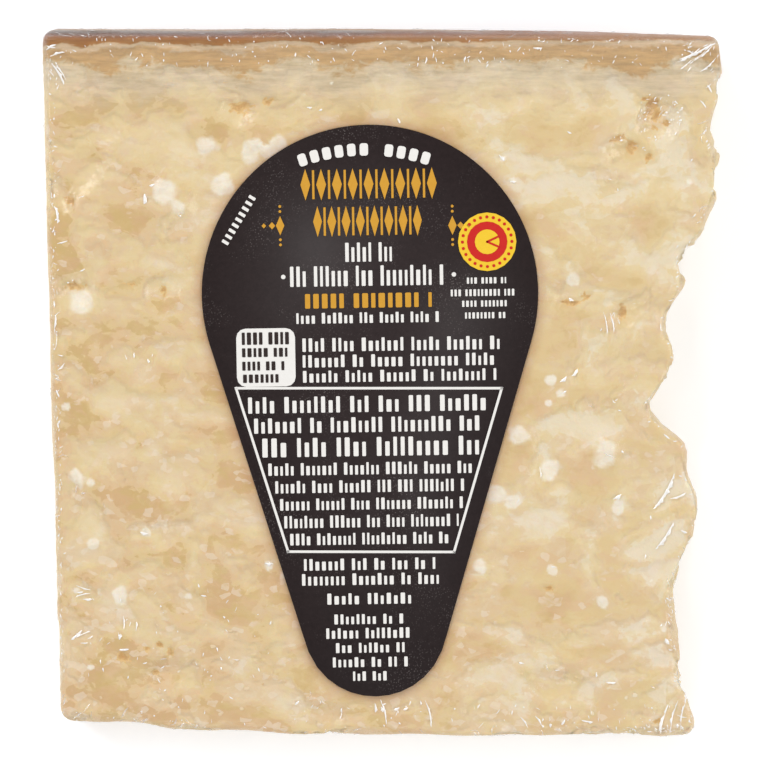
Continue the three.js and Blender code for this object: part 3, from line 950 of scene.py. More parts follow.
facing_up = all(face.normal.z > 0 for face in label_mesh.faces)
print("label:", len(label_mesh.faces), "faces, facing up:", facing_up)

# %% [markdown]
# ## The paper's thickness
#
# A sheet without thickness shows no cut edge. The flat mesh is extruded as a whole, the new copy
# goes up by the thickness of the paper, and the old one stays as its underside.

# %% Give the paper its thickness
bottom = bmesh.ops.extrude_face_region(label_mesh, geom=list(label_mesh.faces))
raised = [part for part in bottom["geom"] if isinstance(part, bmesh.types.BMVert)]
bmesh.ops.translate(label_mesh, verts=raised, vec=(0, 0, LABEL_THICKNESS))
bmesh.ops.recalc_face_normals(label_mesh, faces=label_mesh.faces)
label = new_object("label_paper", label_mesh)
label_tree = surface_tree(label)
print("label with its thickness:", len(label.data.polygons), "faces")

# %% [markdown]
# ## Print on the label
#
# Printed ink has no thickness to speak of, so each patch is a flat face laid a few hundredths of
# a millimetre above the paper. The lines of the print become plain bars and lozenges: they keep
# the places, sizes and colours of the print, and say nothing. A patch starts at unit size, and
# one helper scales it, turns it and drops it on the paper. All lengths here are in millimetres on
# the label.

# %% Patches of ink
INK_LIFT = 0.05 * MM
BEND_EVERY = 3  # long patches get a row of vertices every few millimetres, to follow the paper
CORNER_SEGMENTS = 3
DOT_SIDES = 20


def lay_ink(verts, x, y, width, height, turn=0.0, layer=1):
    """Scale, turn and move a patch of unit size to a place in the label's frame, in millimetres."""
    spin = Matrix.Rotation(turn, 2)
    for vert in verts:
        local = spin @ Vector((vert.co.x * width, vert.co.y * height))
        place = label_to_frame((x + local.x) * MM, (y + local.y) * MM)
        vert.co = (place.x, place.y, drop_on(label_tree, place.x, place.y) + layer * INK_LIFT)


def add_bar(bm, x0, x1, y0, y1, turn=0.0, layer=1, roundness=0.3):
    """A bar with rounded corners between two corners in the label's frame."""
    width, height = abs(x1 - x0), abs(y1 - y0)
    roundness *= min(1, width / height)
    steps = max(1, int(width / BEND_EVERY))
    made = bmesh.ops.create_grid(bm, x_segments=steps, y_segments=1, size=0.5)["verts"]
    ends = [vert for vert in made if len(vert.link_edges) == 2]
    for vert in made:
        vert.co.x *= width / height
    rounded = bmesh.ops.bevel(
        bm, geom=ends, offset=roundness, offset_type="OFFSET", affect="VERTICES",
        segments=CORNER_SEGMENTS, profile=0.5, material=-1,
    )
    made = list({vert for vert in made if vert.is_valid} | set(rounded["verts"]))
    for vert in made:
        vert.co.x *= height / width
    lay_ink(made, (x0 + x1) / 2, (y0 + y1) / 2, width, height, turn, layer)


def add_lozenge(bm, x, y, width, height, turn=0.0, layer=1):
    """A diamond with its points on the two axes."""
    made = bmesh.ops.create_circle(bm, cap_ends=True, radius=0.5, segments=4)["verts"]
    lay_ink(made, x, y, width, height, turn, layer)


def add_dot(bm, x, y, size, layer=1):
    """A round patch, size across."""
    made = bmesh.ops.create_circle(bm, cap_ends=True, radius=0.5, segments=DOT_SIDES)["verts"]
    lay_ink(made, x, y, size, size, 0.0, layer)


def add_line(bm, start, end, width, layer=1):
    """A straight line of ink between two places in the label's frame."""
    middle = ((start[0] + end[0]) / 2, (start[1] + end[1]) / 2)
    length = math.dist(start, end) + width
    steps = max(1, int(length / BEND_EVERY))
    made = bmesh.ops.create_grid(bm, x_segments=steps, y_segments=1, size=0.5)["verts"]
    turn = math.atan2(end[1] - start[1], end[0] - start[0])
    lay_ink(made, *middle, length, width, turn, layer)


GROUP_SIZES = (2, 9)
FIRST_GROUP_SIZES = (3, 8)
BLOCK_SPREAD = (0.75, 1.2)
TALL_SHARE = 0.3
ROW_ROUNDNESS = 0.2


def add_row(bm, x0, x1, top, foot, block, gap, space, layer=1, low=1.0):
    """A row of small blocks in groups, as wide as a line of small print."""
    x = x0
    left = random.randint(*FIRST_GROUP_SIZES)
    tall = True
    while x + 0.5 * block < x1:
        width = min(block * random.uniform(*BLOCK_SPREAD), x1 - x)
        height = (top - foot) * (1.0 if tall else low)
        add_bar(bm, x, x + width, foot, foot + height, 0.0, layer, ROW_ROUNDNESS)
        x += width + gap
        left -= 1
        tall = left == 0 or random.random() < TALL_SHARE
        if left == 0:
            x += space
            left = random.randint(*GROUP_SIZES)


print("ink lies", round(INK_LIFT / MM, 2), "mm above the paper")

# %% [markdown]
# ## The white print
#
# White carries the small print, a row at the arched head, a slanting row at the left, two dots,
# the frame round the lower block and a box with rounded corners. Each row of the lists has its
# left and right end, its top and foot, and how wide its blocks are.

# %% Rows and frame of the white print
SMALL_ROWS = [
    (-22.1, 21.1, -18.1, -21.0, 1.5), (-21.1, 20.6, -21.9, -24.6, 1.35),
    (-19.7, 19.3, -25.5, -28.9, 1.6), (-18.7, 18.0, -30.0, -32.2, 1.05),
    (-17.5, 17.0, -33.2, -35.4, 1.05), (-16.7, 16.1, -36.4, -38.5, 1.0),
    (-16.0, 15.3, -39.5, -41.7, 1.0), (-15.0, 14.0, -42.7, -44.8, 1.0),
    (-12.6, 11.1, -47.3, -49.4, 1.15), (-13.0, 11.6, -50.0, -52.1, 1.15),
    (-8.5, 6.7, -53.6, -55.6, 1.3), (-7.3, 5.2, -57.4, -59.2, 1.1), (-8.8, 6.8, -59.9, -61.8, 1.1),
    (-7.1, 5.3, -62.6, -64.4, 1.1), (-7.7, 5.8, -65.2, -67.0, 1.1), (-4.1, 2.0, -67.8, -69.5, 1.0),
    (-12.2, 23.0, -7.7, -10.1, 1.2), (-12.2, 22.4, -10.7, -12.9, 1.2),
    (-12.2, 22.8, -13.5, -15.6, 1.2), (-4.3, 4.0, 9.2, 5.8, 1.1), (-14.2, 13.8, 5.1, 1.5, 1.2),
    (-13.2, 12.6, -3.2, -5.1, 1.0),
]
FINE_ROWS = [
    (17.3, 24.3, 2.7, 1.6), (14.4, 26.7, 0.6, -0.6), (16.4, 24.7, -1.4, -2.5),
    (16.9, 24.4, -3.5, -4.6),
]
SMALL_BLOCK, SMALL_GAP, SMALL_SPACE = 0.52, 0.42, 0.8  # shares of a row's block width
LOW_BLOCKS = 0.76
PANEL_CORNERS = [(-24.2, -16.4), (23.3, -17.1), (14.4, -46.4), (-15.4, -45.9)]
PANEL_LINE = 0.45
BOX_CORNERS = (-24.0, -13.5, -16.2, -5.8)

random.seed(8)
white_ink = bmesh.new()
for x0, x1, top, foot, block in SMALL_ROWS:
    widths = (SMALL_BLOCK * block, SMALL_GAP * block, SMALL_SPACE * block)
    add_row(white_ink, x0, x1, top, foot, *widths, 1, LOW_BLOCKS)
for x0, x1, top, foot in FINE_ROWS:
    add_row(white_ink, x0, x1, top, foot, 0.42, 0.3, 0.5)
for index, corner in enumerate(PANEL_CORNERS):
    add_line(white_ink, corner, PANEL_CORNERS[index - 1], PANEL_LINE)
add_bar(white_ink, *BOX_CORNERS, 0.0, 1, 0.16)
for x in (-15.4, 15.0):
    add_dot(white_ink, x, 3.3, 0.8)
print("rows of white print:", len(SMALL_ROWS) + len(FINE_ROWS))

# %% Arched head row and the slanting row at the left
ARCH_CENTRE = (-0.7, -10.5)
ARCH_RADIUS = 36.15
ARCH_BLOCKS = 11
ARCH_GAP_AT = 6
ARCH_FIRST_LEAN = 17.6
ARCH_STEP = 3.52
ARCH_BLOCK = (0.75, 1.1)  # half width and half height
SLANT_BLOCKS = 9
SLANT_START = (-25.6, 9.6)
SLANT_REACH = (4.9, 7.8)
SLANT_BLOCK = (0.28, 0.65)
SLANT_TURN = math.radians(57.9)


def add_turned_block(bm, x, y, half_sizes, turn, roundness):
    """A rounded block round its middle, turned."""
    half_x, half_y = half_sizes
    add_bar(bm, x - half_x, x + half_x, y - half_y, y + half_y, turn, 1, roundness)


for index in range(ARCH_BLOCKS):
    lean = math.radians(ARCH_FIRST_LEAN - ARCH_STEP * index)
    if index == ARCH_GAP_AT:
        continue
    x = ARCH_CENTRE[0] - ARCH_RADIUS * math.sin(lean)
    y = ARCH_CENTRE[1] + ARCH_RADIUS * math.cos(lean)
    add_turned_block(white_ink, x, y, ARCH_BLOCK, lean, 0.3)
for step in range(SLANT_BLOCKS):
    along = step / (SLANT_BLOCKS - 1)
    x = SLANT_START[0] + SLANT_REACH[0] * along
    y = SLANT_START[1] + SLANT_REACH[1] * along
    add_turned_block(white_ink, x, y, SLANT_BLOCK, SLANT_TURN, ROW_ROUNDNESS)
white_print = new_object("print_white", white_ink)
print("white print:", len(white_print.data.polygons), "patches")

# %% [markdown]
# ## The gold print
#
# The two large lines become fields of gold lozenges with thin bars between them, the middle line
# a row of blocks, and the two ornaments a diamond with smaller ones and dots beside it.

# %% Gold lozenges, blocks and ornaments
GOLD_LINES = [(-12.6, 12.7, 19.55, 5.6, 9), (-10.4, 9.9, 13.0, 5.5, 8)]
GOLD_BAR = 0.4
GOLD_BAR_REACH = 0.42
LOZENGE_SHARE = 0.62
ORNAMENTS = [(-15.8, 12.4, 1), (14.85, 12.0, -1)]

gold_ink = bmesh.new()
for x0, x1, middle, height, count in GOLD_LINES:
    pitch = (x1 - x0) / count
    for index in range(count):
        x = x0 + pitch * (index + 0.5)
        add_lozenge(gold_ink, x, middle, LOZENGE_SHARE * pitch, height)
        if index:
            bar_x = x - pitch / 2
            reach = height * GOLD_BAR_REACH
            add_line(gold_ink, (bar_x, middle - reach), (bar_x, middle + reach), GOLD_BAR)
add_row(gold_ink, -11.6, 11.0, 0.2, -2.4, 1.0, 0.55, 1.2)
for x, y, way in ORNAMENTS:
    add_lozenge(gold_ink, x, y, 1.5, 3.4)
    for step in (1, 2):
        add_lozenge(gold_ink, x - way * 1.45 * step, y, 1.5 - 0.35 * step, 1.7 - 0.4 * step)
        add_dot(gold_ink, x, y + 1.6 + 0.9 * step, 0.5)
        add_dot(gold_ink, x, y - 1.6 - 0.9 * step, 0.5)
gold_print = new_object("print_gold", gold_ink)
print("gold print:", len(gold_print.data.polygons), "patches")

# %% [markdown]
# ## The round seal
#
# The label carries a round seal in yellow and red. Here it is a plain one: a yellow disc with red
# dots, a red disc on it and, in yellow again, a wheel of cheese with the cuts of one slice. Each
# patch lies one layer of ink above the one that it covers. The white box gets rows of dark
# blocks.

# %% Seal and the dark rows on the white box
SEAL = (21.0, 9.0)
SEAL_SIZES = (10.4, 7.2, 4.4)
SEAL_DOTS = 24
SLICE_REACH = (2.0, 0.9)
BOX_ROWS = [
    (-23.0, -14.6, -6.5, -8.7), (-23.0, -14.9, -9.3, -10.9), (-23.0, -14.9, -11.7, -13.3),
    (-22.9, -15.5, -14.0, -15.5),
]

seal_yellow = bmesh.new()
add_dot(seal_yellow, *SEAL, SEAL_SIZES[0], 1)
add_dot(seal_yellow, *SEAL, SEAL_SIZES[2], 3)
seal_red = bmesh.new()
add_dot(seal_red, *SEAL, SEAL_SIZES[1], 2)
for way in (1, -1):
    add_line(seal_red, SEAL, (SEAL[0] + SLICE_REACH[0], SEAL[1] + way * SLICE_REACH[1]), 0.35, 4)
for index in range(SEAL_DOTS):
    angle = index * math.tau / SEAL_DOTS
    reach = (SEAL_SIZES[0] + SEAL_SIZES[1]) / 4
    dot_x = SEAL[0] + reach * math.cos(angle)
    dot_y = SEAL[1] + reach * math.sin(angle)
    add_dot(seal_red, dot_x, dot_y, 0.55, 2)
yellow_print = new_object("print_seal_yellow", seal_yellow)
red_print = new_object("print_seal_red", seal_red)

dark_ink = bmesh.new()
for x0, x1, top, foot in BOX_ROWS:
    add_row(dark_ink, x0, x1, top, foot, 0.62, 0.36, 0.7, 2)
dark_print = new_object("print_dark", dark_ink)
print("seal and dark print made")

# %% [markdown]
# ## Colours and nodes
#
# Colours are written as the sRGB hex values that a colour picker gives, and one function turns
# them into the linear light values that the shader needs. A second one adds any node with its
# settings and whatever goes into its sockets.

# %% Two helpers for materials


def linear(hex_colour):
    """A six-digit sRGB colour as linear red, green, blue and an alpha of one."""
    parts = [int(hex_colour[start:start + 2], 16) / 255 for start in (0, 2, 4)]
    return [p / 12.92 if p <= 0.04045 else ((p + 0.055) / 1.055) ** 2.4 for p in parts] + [1.0]


def add_node(tree, kind, sockets=None, **settings):
    """A node with its settings, and a value or a link for each socket that is named or numbered."""
    made = tree.nodes.new(kind)
    for name, value in settings.items():
        setattr(made, name, value)
    for socket, value in (sockets or {}).items():
        if isinstance(value, bpy.types.NodeSocket):
            tree.links.new(value, made.inputs[socket])
        else:
            made.inputs[socket].default_value = value
    return made


def new_material(name):
    """An empty node material and its tree."""
    material = bpy.data.materials.new(name)
    material.use_nodes = True
    material.node_tree.nodes.clear()
    return material, material.node_tree


MIX_A = 6  # the Mix node's colour sockets and its colour result, by number
MIX_B = 7
MIX_COLOUR = 2
print("mid grey in linear light:", round(linear("808080")[0], 3))

# %% [markdown]
# ## Aged cheese paste
#
# The paste is fat and protein with air and fine crystals in it. Light goes in a few millimetres
# and comes out again warmer, which subsurface scattering gives. Where it was pressed flat by the
# film it is waxy and straw-coloured; where it broke open it is paler and crumbly. Its colour also
# wanders between a yellow straw and a pinker cream, so there is a ramp for each and a slow noise
# between them.
#
# Under the rind the colour goes through bands: grey skin, a dark red line, a tan crust, a pale
# line, an amber band and a pale crumbly zone. The skin's mauve grey is painted shade and glare of
# the wall's upper edge. A ramp over the depth below the wheel's wall, in millimetres, gives them
# on all sides.

# %% Colours of the paste and of the rind's bands
STRAW_TONES = [(0.0, "CEB077"), (0.2, "DBC18F"), (0.5, "DEC797"), (0.8, "E1CCA0"), (1.0, "E5D6B8")]
CREAM_TONES = [(0.0, "D1AE80"), (0.2, "DBBC92"), (0.5, "DCC29A"), (0.8, "E0C8A4"), (1.0, "E5D6BD")]
CRYSTAL = "EEE6D6"
FLECK = "E7D7C0"
PIT_RIM = "DFBC80"
# The pit's darker heart is painted shade, deep in the pit.
PIT_SHADED_HEART = "C79A5C"
# Painted shade beside the dark label.
LABEL_SHADE = "A8714E"
RIND_RAMP_END = 16.0
# The first two stops, the mauve grey skin, are painted shade and glare.
RIND_RAMP = [
    (0.0, "4E3E40"), (0.2, "523A3A"), (0.34, "581E12"), (0.5, "642A18"), (0.72, "80441F"),
    (0.95, "8E5426"), (1.75, "9C6832"), (2.05, "C4AA8A"), (2.6, "CBB294"), (3.2, "BF9B6E"),
    (5.4, "C09C6C"), (6.4, "CBB797"), (9.0, "D0C1AB"), (15.0, "D4C5AE"),
]


def set_stops(ramp, stops, scale=1.0):
    """Write a colour ramp's stops, given as places and sRGB colours."""
    elements = ramp.color_ramp.elements
    elements[0].color = linear(stops[0][1])
    elements[1].position = stops[-1][0] * scale
    elements[1].color = linear(stops[-1][1])
    for position, colour in stops[1:-1]:
        elements.new(position * scale).color = linear(colour)


print("stops under the rind:", len(RIND_RAMP))

# %% [markdown]
# ## Noises that the paste is mixed from
#
# Real paste has structure at every size: areas of ten millimetres, flakes of four to seven, torn
# bits of two and a grain of half a millimetre. Each gets a noise of its own, and the fine ones
# only a few octaves, since more would cost time and not show. The vertex attributes come in here
# as well.

# %% Noise in several sizes, all in millimetres
paste, tree = new_material("aged_cheese_paste")
place = add_node(tree, "ShaderNodeTexCoord").outputs["Object"]
place_mm = add_node(
    tree, "ShaderNodeMapping", {"Vector": place, "Scale": (1 / MM, 1 / MM, 1 / MM)}
).outputs["Vector"]
along_flakes = add_node(
    tree, "ShaderNodeMapping",
    {"Vector": place_mm, "Scale": (0.8, 1.1, 1.0), "Rotation": (0, 0, 0.08)},
).outputs["Vector"]
mottle = add_node(
    tree, "ShaderNodeTexNoise",
    {"Vector": along_flakes, "Scale": 1 / 6.5, "Detail": 3.0, "Roughness": 0.6, "Distortion": 0.35},
).outputs["Fac"]
hue = add_node(
    tree, "ShaderNodeTexNoise",
    {"Vector": along_flakes, "Scale": 1 / 4.3, "Detail": 3.5, "Roughness": 0.66, "Distortion": 0.5},
).outputs["Fac"]
patches = add_node(
    tree, "ShaderNodeTexNoise",
    {"Vector": along_flakes, "Scale": 1 / 1.8, "Detail": 4.0, "Roughness": 0.66, "Distortion": 0.7},
).outputs["Fac"]
slow = add_node(
    tree, "ShaderNodeTexNoise",
    {"Vector": place_mm, "Scale": 1 / 10, "Detail": 2.0, "Roughness": 0.5},
).outputs["Fac"]
grain = add_node(
    tree, "ShaderNodeTexNoise",
    {"Vector": place_mm, "Scale": 1 / 0.5, "Detail": 2.0, "Roughness": 0.65},
).outputs["Fac"]
field = add_node(tree, "ShaderNodeAttribute", attribute_name="flake_field").outputs["Fac"]
crystal = add_node(tree, "ShaderNodeAttribute", attribute_name="crystal").outputs["Fac"]
pit = add_node(tree, "ShaderNodeAttribute", attribute_name="pit").outputs["Fac"]
painted_label_shade = add_node(tree, "ShaderNodeAttribute", attribute_name="painted_label_shade").outputs["Fac"]
centred = add_node(
    tree, "ShaderNodeMath", {0: patches, 1: 0.5}, operation="SUBTRACT"
).outputs["Value"]

print("noises for the paste:", sum(node.type == "TEX_NOISE" for node in tree.nodes))

# %% [markdown]
# ## Chips and flecks
#
# Paste breaks along the faces of its grains, so torn places have angular rims, which no soft
# noise gives. Voronoi cells do: large ones shift the field from chip to chip, and small ones
# picked at random are pale flecks. The flecks swarm where the paste is crumbly, which here is
# more to the lower left.

# %% Chips: angular cells of two sizes whose straight rims look broken, not cut
CHIP_SIZE = 3.6
CHIP_SHARE = 0.2
FLECK_SIZE = 1.2
FLECK_SHARE = 0.86
CELL_SHAKE = 0.45
CORNER_LEAN = 0.6  # how much a step across counts against a step along, towards the lower left
CRUMBLY_DRIFT = -0.0012
jitter = add_node(
    tree, "ShaderNodeTexNoise", {"Vector": along_flakes, "Scale": 1 / 1.2, "Detail": 2.0}
).outputs["Color"]
shaken = add_node(
    tree, "ShaderNodeMix", {0: CELL_SHAKE, MIX_A: along_flakes, MIX_B: jitter}, data_type="RGBA",
    blend_type="ADD",
).outputs[MIX_COLOUR]
chip_cells = add_node(
    tree, "ShaderNodeTexVoronoi", {"Vector": shaken, "Scale": 1 / CHIP_SIZE}
).outputs["Color"]
chip_value = add_node(tree, "ShaderNodeSeparateColor", {"Color": chip_cells}).outputs["Green"]
chips = add_node(
    tree, "ShaderNodeMath", {0: chip_value, 1: 0.5}, operation="SUBTRACT"
).outputs["Value"]
cells = add_node(
    tree, "ShaderNodeTexVoronoi", {"Vector": shaken, "Scale": 1 / FLECK_SIZE}
).outputs["Color"]
cell_value = add_node(tree, "ShaderNodeSeparateColor", {"Color": cells}).outputs["Red"]
across, along, up = add_node(tree, "ShaderNodeSeparateXYZ", {"Vector": place_mm}).outputs
to_corner = add_node(
    tree, "ShaderNodeMath", {0: across, 1: CORNER_LEAN, 2: along}, operation="MULTIPLY_ADD"
).outputs["Value"]
crumbly = add_node(
    tree, "ShaderNodeMath", {0: to_corner, 1: CRUMBLY_DRIFT, 2: hue}, operation="MULTIPLY_ADD"
).outputs["Value"]
swarm = add_node(
    tree, "ShaderNodeMapRange", {"Value": crumbly, "From Min": 0.5, "From Max": 0.6}
).outputs["Result"]
picked = add_node(
    tree, "ShaderNodeMath", {0: cell_value, 1: FLECK_SHARE}, operation="GREATER_THAN"
).outputs["Value"]
flecks = add_node(
    tree, "ShaderNodeMath", {0: picked, 1: swarm}, operation="MULTIPLY"
).outputs["Value"]
print("chips of", CHIP_SIZE, "mm and flecks of", FLECK_SIZE, "mm")

# %% [markdown]
# ## Tone in steps
#
# A plain ramp over the field would look like clouds. Broken paste changes its tone in steps, each
# at the rim of a flake, so the field passes a few thresholds and each adds its share. The rims
# are crisp in some areas and soft in others. A slight lean makes the paste lighter to the right,
# which is painted light.

# %% Steps from waxy straw to pale crumb, torn finer than the mesh
TORN_SHARE = 0.34
SOFT_RIM, CRISP_RIM = 0.034, 0.006
TONE_STEPS = (
    (0.38, 0.15), (0.47, 0.08), (HOLLOW_FROM + 0.03, 0.15), (0.64, 0.08), (DEEPER_FROM, 0.12),
)
chipped_field = add_node(
    tree, "ShaderNodeMath", {0: chips, 1: CHIP_SHARE, 2: field}, operation="MULTIPLY_ADD"
).outputs["Value"]
torn_field = add_node(
    tree, "ShaderNodeMath", {0: centred, 1: TORN_SHARE, 2: chipped_field}, operation="MULTIPLY_ADD"
).outputs["Value"]
softness = add_node(
    tree, "ShaderNodeMapRange",
    {"Value": slow, "From Min": 0.4, "From Max": 0.52, "To Min": SOFT_RIM, "To Max": CRISP_RIM},
).outputs["Result"]
levels = 0.0
for step_place, step_share in TONE_STEPS:
    step_start = add_node(
        tree, "ShaderNodeMath", {0: step_place, 1: softness}, operation="SUBTRACT"
    ).outputs["Value"]
    step_end = add_node(
        tree, "ShaderNodeMath", {0: step_place, 1: softness}, operation="ADD"
    ).outputs["Value"]
    step = add_node(
        tree, "ShaderNodeMapRange",
        {"Value": torn_field, "From Min": step_start, "From Max": step_end},
    ).outputs["Result"]
    levels = add_node(
        tree, "ShaderNodeMath", {0: step, 1: step_share, 2: levels}, operation="MULTIPLY_ADD"
    ).outputs["Value"]

print("tone steps:", len(TONE_STEPS))

# %% From waxy straw to pale crumb
FIELD_IN_TONE = 0.3
# Painted light: the paste is lighter towards the right.
PAINTED_LIGHT_RIGHT = 0.0022  # more tone for each millimetre to the right
base_tone = add_node(
    tree, "ShaderNodeMapRange",
    {"Value": mottle, "From Min": 0.3, "From Max": 0.7, "To Min": -0.05, "To Max": 0.15},
    clamp=False,
).outputs["Result"]
with_field = add_node(
    tree, "ShaderNodeMath", {0: torn_field, 1: FIELD_IN_TONE, 2: base_tone},
    operation="MULTIPLY_ADD",
).outputs["Value"]
with_levels = add_node(
    tree, "ShaderNodeMath", {0: levels, 1: with_field}, operation="ADD"
).outputs["Value"]
painted_light_right = add_node(
    tree, "ShaderNodeMath", {0: across, 1: PAINTED_LIGHT_RIGHT, 2: with_levels}, operation="MULTIPLY_ADD"
).outputs["Value"]
business = add_node(
    tree, "ShaderNodeMapRange",
    {"Value": slow, "From Min": 0.42, "From Max": 0.6, "To Min": 0.08, "To Max": 0.4},
).outputs["Result"]
fine_tone = add_node(
    tree, "ShaderNodeMath", {0: centred, 1: business}, operation="MULTIPLY"
).outputs["Value"]
tone_value = add_node(
    tree, "ShaderNodeMath", {0: painted_light_right, 1: fine_tone}, operation="ADD", use_clamp=True
).outputs["Value"]
straw = add_node(tree, "ShaderNodeValToRGB", {"Fac": tone_value})
set_stops(straw, STRAW_TONES)
cream = add_node(tree, "ShaderNodeValToRGB", {"Fac": tone_value})
set_stops(cream, CREAM_TONES)
print("straw and cream ramps:", len(STRAW_TONES), "and", len(CREAM_TONES), "stops")

# %% Pinker to the lower left and at the rims of flakes, yellower elsewhere
FRINGE = 0.05
FRINGE_PINK = 0.07
PINK_DRIFT = -0.0008
FLECK_STRENGTH = 0.5
drift = add_node(
    tree, "ShaderNodeMath", {0: to_corner, 1: PINK_DRIFT, 2: hue}, operation="MULTIPLY_ADD"
).outputs["Value"]
at_rim = add_node(
    tree, "ShaderNodeMath", {0: torn_field, 1: HOLLOW_FROM, 2: FRINGE}, operation="COMPARE"
).outputs["Value"]
fringed = add_node(
    tree, "ShaderNodeMath", {0: at_rim, 1: FRINGE_PINK, 2: drift}, operation="MULTIPLY_ADD"
).outputs["Value"]
cream_share = add_node(
    tree, "ShaderNodeMapRange", {"Value": fringed, "From Min": 0.42, "From Max": 0.64},
    interpolation_type="SMOOTHSTEP",
).outputs["Result"]
mottled = add_node(
    tree, "ShaderNodeMix",
    {0: cream_share, MIX_A: straw.outputs["Color"], MIX_B: cream.outputs["Color"]},
    data_type="RGBA",
).outputs[MIX_COLOUR]
fleck_share = add_node(
    tree, "ShaderNodeMath", {0: flecks, 1: FLECK_STRENGTH}, operation="MULTIPLY"
).outputs["Value"]
flecked = add_node(
    tree, "ShaderNodeMix", {0: fleck_share, MIX_A: mottled, MIX_B: linear(FLECK)}, data_type="RGBA"
).outputs[MIX_COLOUR]

print("paste colour mixed,", len(tree.nodes), "nodes so far")

# %% [markdown]
# ## Under the rind
#
# The depth below the wheel's wall is worked out for each place, as in Python above, and drives
# the ramp of the bands. The outermost bands are even, since they grew with the rind, and the
# inner ones fray along the flakes, so the field moves them more and more with depth. On the wall
# itself the skin is mauve grey at its upper edge, which is painted shade and glare, and turns tan
# below, the rind's own colour.

# %% Bands under the rind, the skin a trace thinner towards the broken side
RIND_LEAN = 0.004
FIELD_MIDDLE = 0.46
from_axis = add_node(
    tree, "ShaderNodeVectorMath", {0: place, 1: (0, wheel_axis_y, 0)}, operation="SUBTRACT"
).outputs["Vector"]
across_axis = add_node(
    tree, "ShaderNodeVectorMath", {0: from_axis, 1: (0, 1 / MM, 1 / MM)}, operation="MULTIPLY"
).outputs["Vector"]
wheel_distance = add_node(
    tree, "ShaderNodeVectorMath", {0: across_axis}, operation="LENGTH"
).outputs["Value"]
band_depth = add_node(
    tree, "ShaderNodeMath", {0: WHEEL_RADIUS / MM, 1: wheel_distance}, operation="SUBTRACT"
).outputs["Value"]
raggedness = add_node(
    tree, "ShaderNodeMapRange",
    {"Value": band_depth, "From Min": 1.2, "From Max": 6.0, "To Min": 0.4, "To Max": 5.5},
).outputs["Result"]
leaning_depth = add_node(
    tree, "ShaderNodeMath", {0: across, 1: RIND_LEAN, 2: band_depth}, operation="MULTIPLY_ADD"
).outputs["Value"]
torn_depth = add_node(
    tree, "ShaderNodeMath", {0: centred, 1: raggedness, 2: leaning_depth}, operation="MULTIPLY_ADD"
).outputs["Value"]
above_middle = add_node(
    tree, "ShaderNodeMath", {0: field, 1: FIELD_MIDDLE}, operation="SUBTRACT"
).outputs["Value"]
ragged_depth = add_node(
    tree, "ShaderNodeMath", {0: above_middle, 1: raggedness, 2: torn_depth},
    operation="MULTIPLY_ADD",
).outputs["Value"]
ramp_place = add_node(
    tree, "ShaderNodeMapRange", {"Value": ragged_depth, "From Min": 0.0, "From Max": RIND_RAMP_END}
).outputs["Result"]
bands = add_node(tree, "ShaderNodeValToRGB", {"Fac": ramp_place})
set_stops(bands, RIND_RAMP, 1 / RIND_RAMP_END)
band_share = add_node(
    tree, "ShaderNodeMapRange",
    {"Value": ragged_depth, "From Min": 5.0, "From Max": 15.0, "To Min": 0.9, "To Max": 0.0},
    interpolation_type="SMOOTHSTEP",
).outputs["Result"]

print("bands reach", RIND_RAMP_END, "mm deep")

# %% The skin is mauve grey at the cut edge, as painted shade, and tan lower down the wall
SKIN_TAN = "96704C"
wall_share = add_node(
    tree, "ShaderNodeMapRange",
    {"Value": up, "From Min": 22.0, "From Max": 29.5, "To Min": 1.0, "To Max": 0.0},
).outputs["Result"]
skin_share = add_node(
    tree, "ShaderNodeMapRange",
    {"Value": ragged_depth, "From Min": 0.35, "From Max": 0.6, "To Min": 1.0, "To Max": 0.0},
).outputs["Result"]
tan_share = add_node(
    tree, "ShaderNodeMath", {0: wall_share, 1: skin_share}, operation="MULTIPLY"
).outputs["Value"]
painted_shade_skin = add_node(
    tree, "ShaderNodeMix", {0: tan_share, MIX_A: bands.outputs["Color"], MIX_B: linear(SKIN_TAN)},
    data_type="RGBA",
).outputs[MIX_COLOUR]

print("skin on the wall:", SKIN_TAN)

# %% Streaks in the crust, along the rind
crust_place = add_node(
    tree, "ShaderNodeMapping", {"Vector": place_mm, "Scale": (0.16, 1.0, 1.0)}
).outputs["Vector"]
streaks = add_node(
    tree, "ShaderNodeTexNoise",
    {"Vector": crust_place, "Scale": 1.0, "Detail": 3.0, "Roughness": 0.7},
).outputs["Fac"]
streak_light = add_node(
    tree, "ShaderNodeMapRange",
    {"Value": streaks, "From Min": 0.3, "From Max": 0.7, "To Min": 0.78, "To Max": 1.18},
).outputs["Result"]
streaked = add_node(
    tree, "ShaderNodeVectorMath", {0: painted_shade_skin, "Scale": streak_light}, operation="SCALE"
).outputs["Vector"]
banded = add_node(
    tree, "ShaderNodeMix", {0: band_share, MIX_A: flecked, MIX_B: streaked}, data_type="RGBA"
).outputs[MIX_COLOUR]

print("streaks added")

# %% [markdown]
# ## Spots on top of the paste
#
# A pit is amber, because light goes deep into its walls, and its rim is torn by the finer noises.
# Its amber is partly the paste's own colour and partly painted shade, darkest in its heart.
# A crystal is a milky white that covers the paste in part only. Close to the label the paste is
# painted darker and warmer: painted shade from the dark paper.

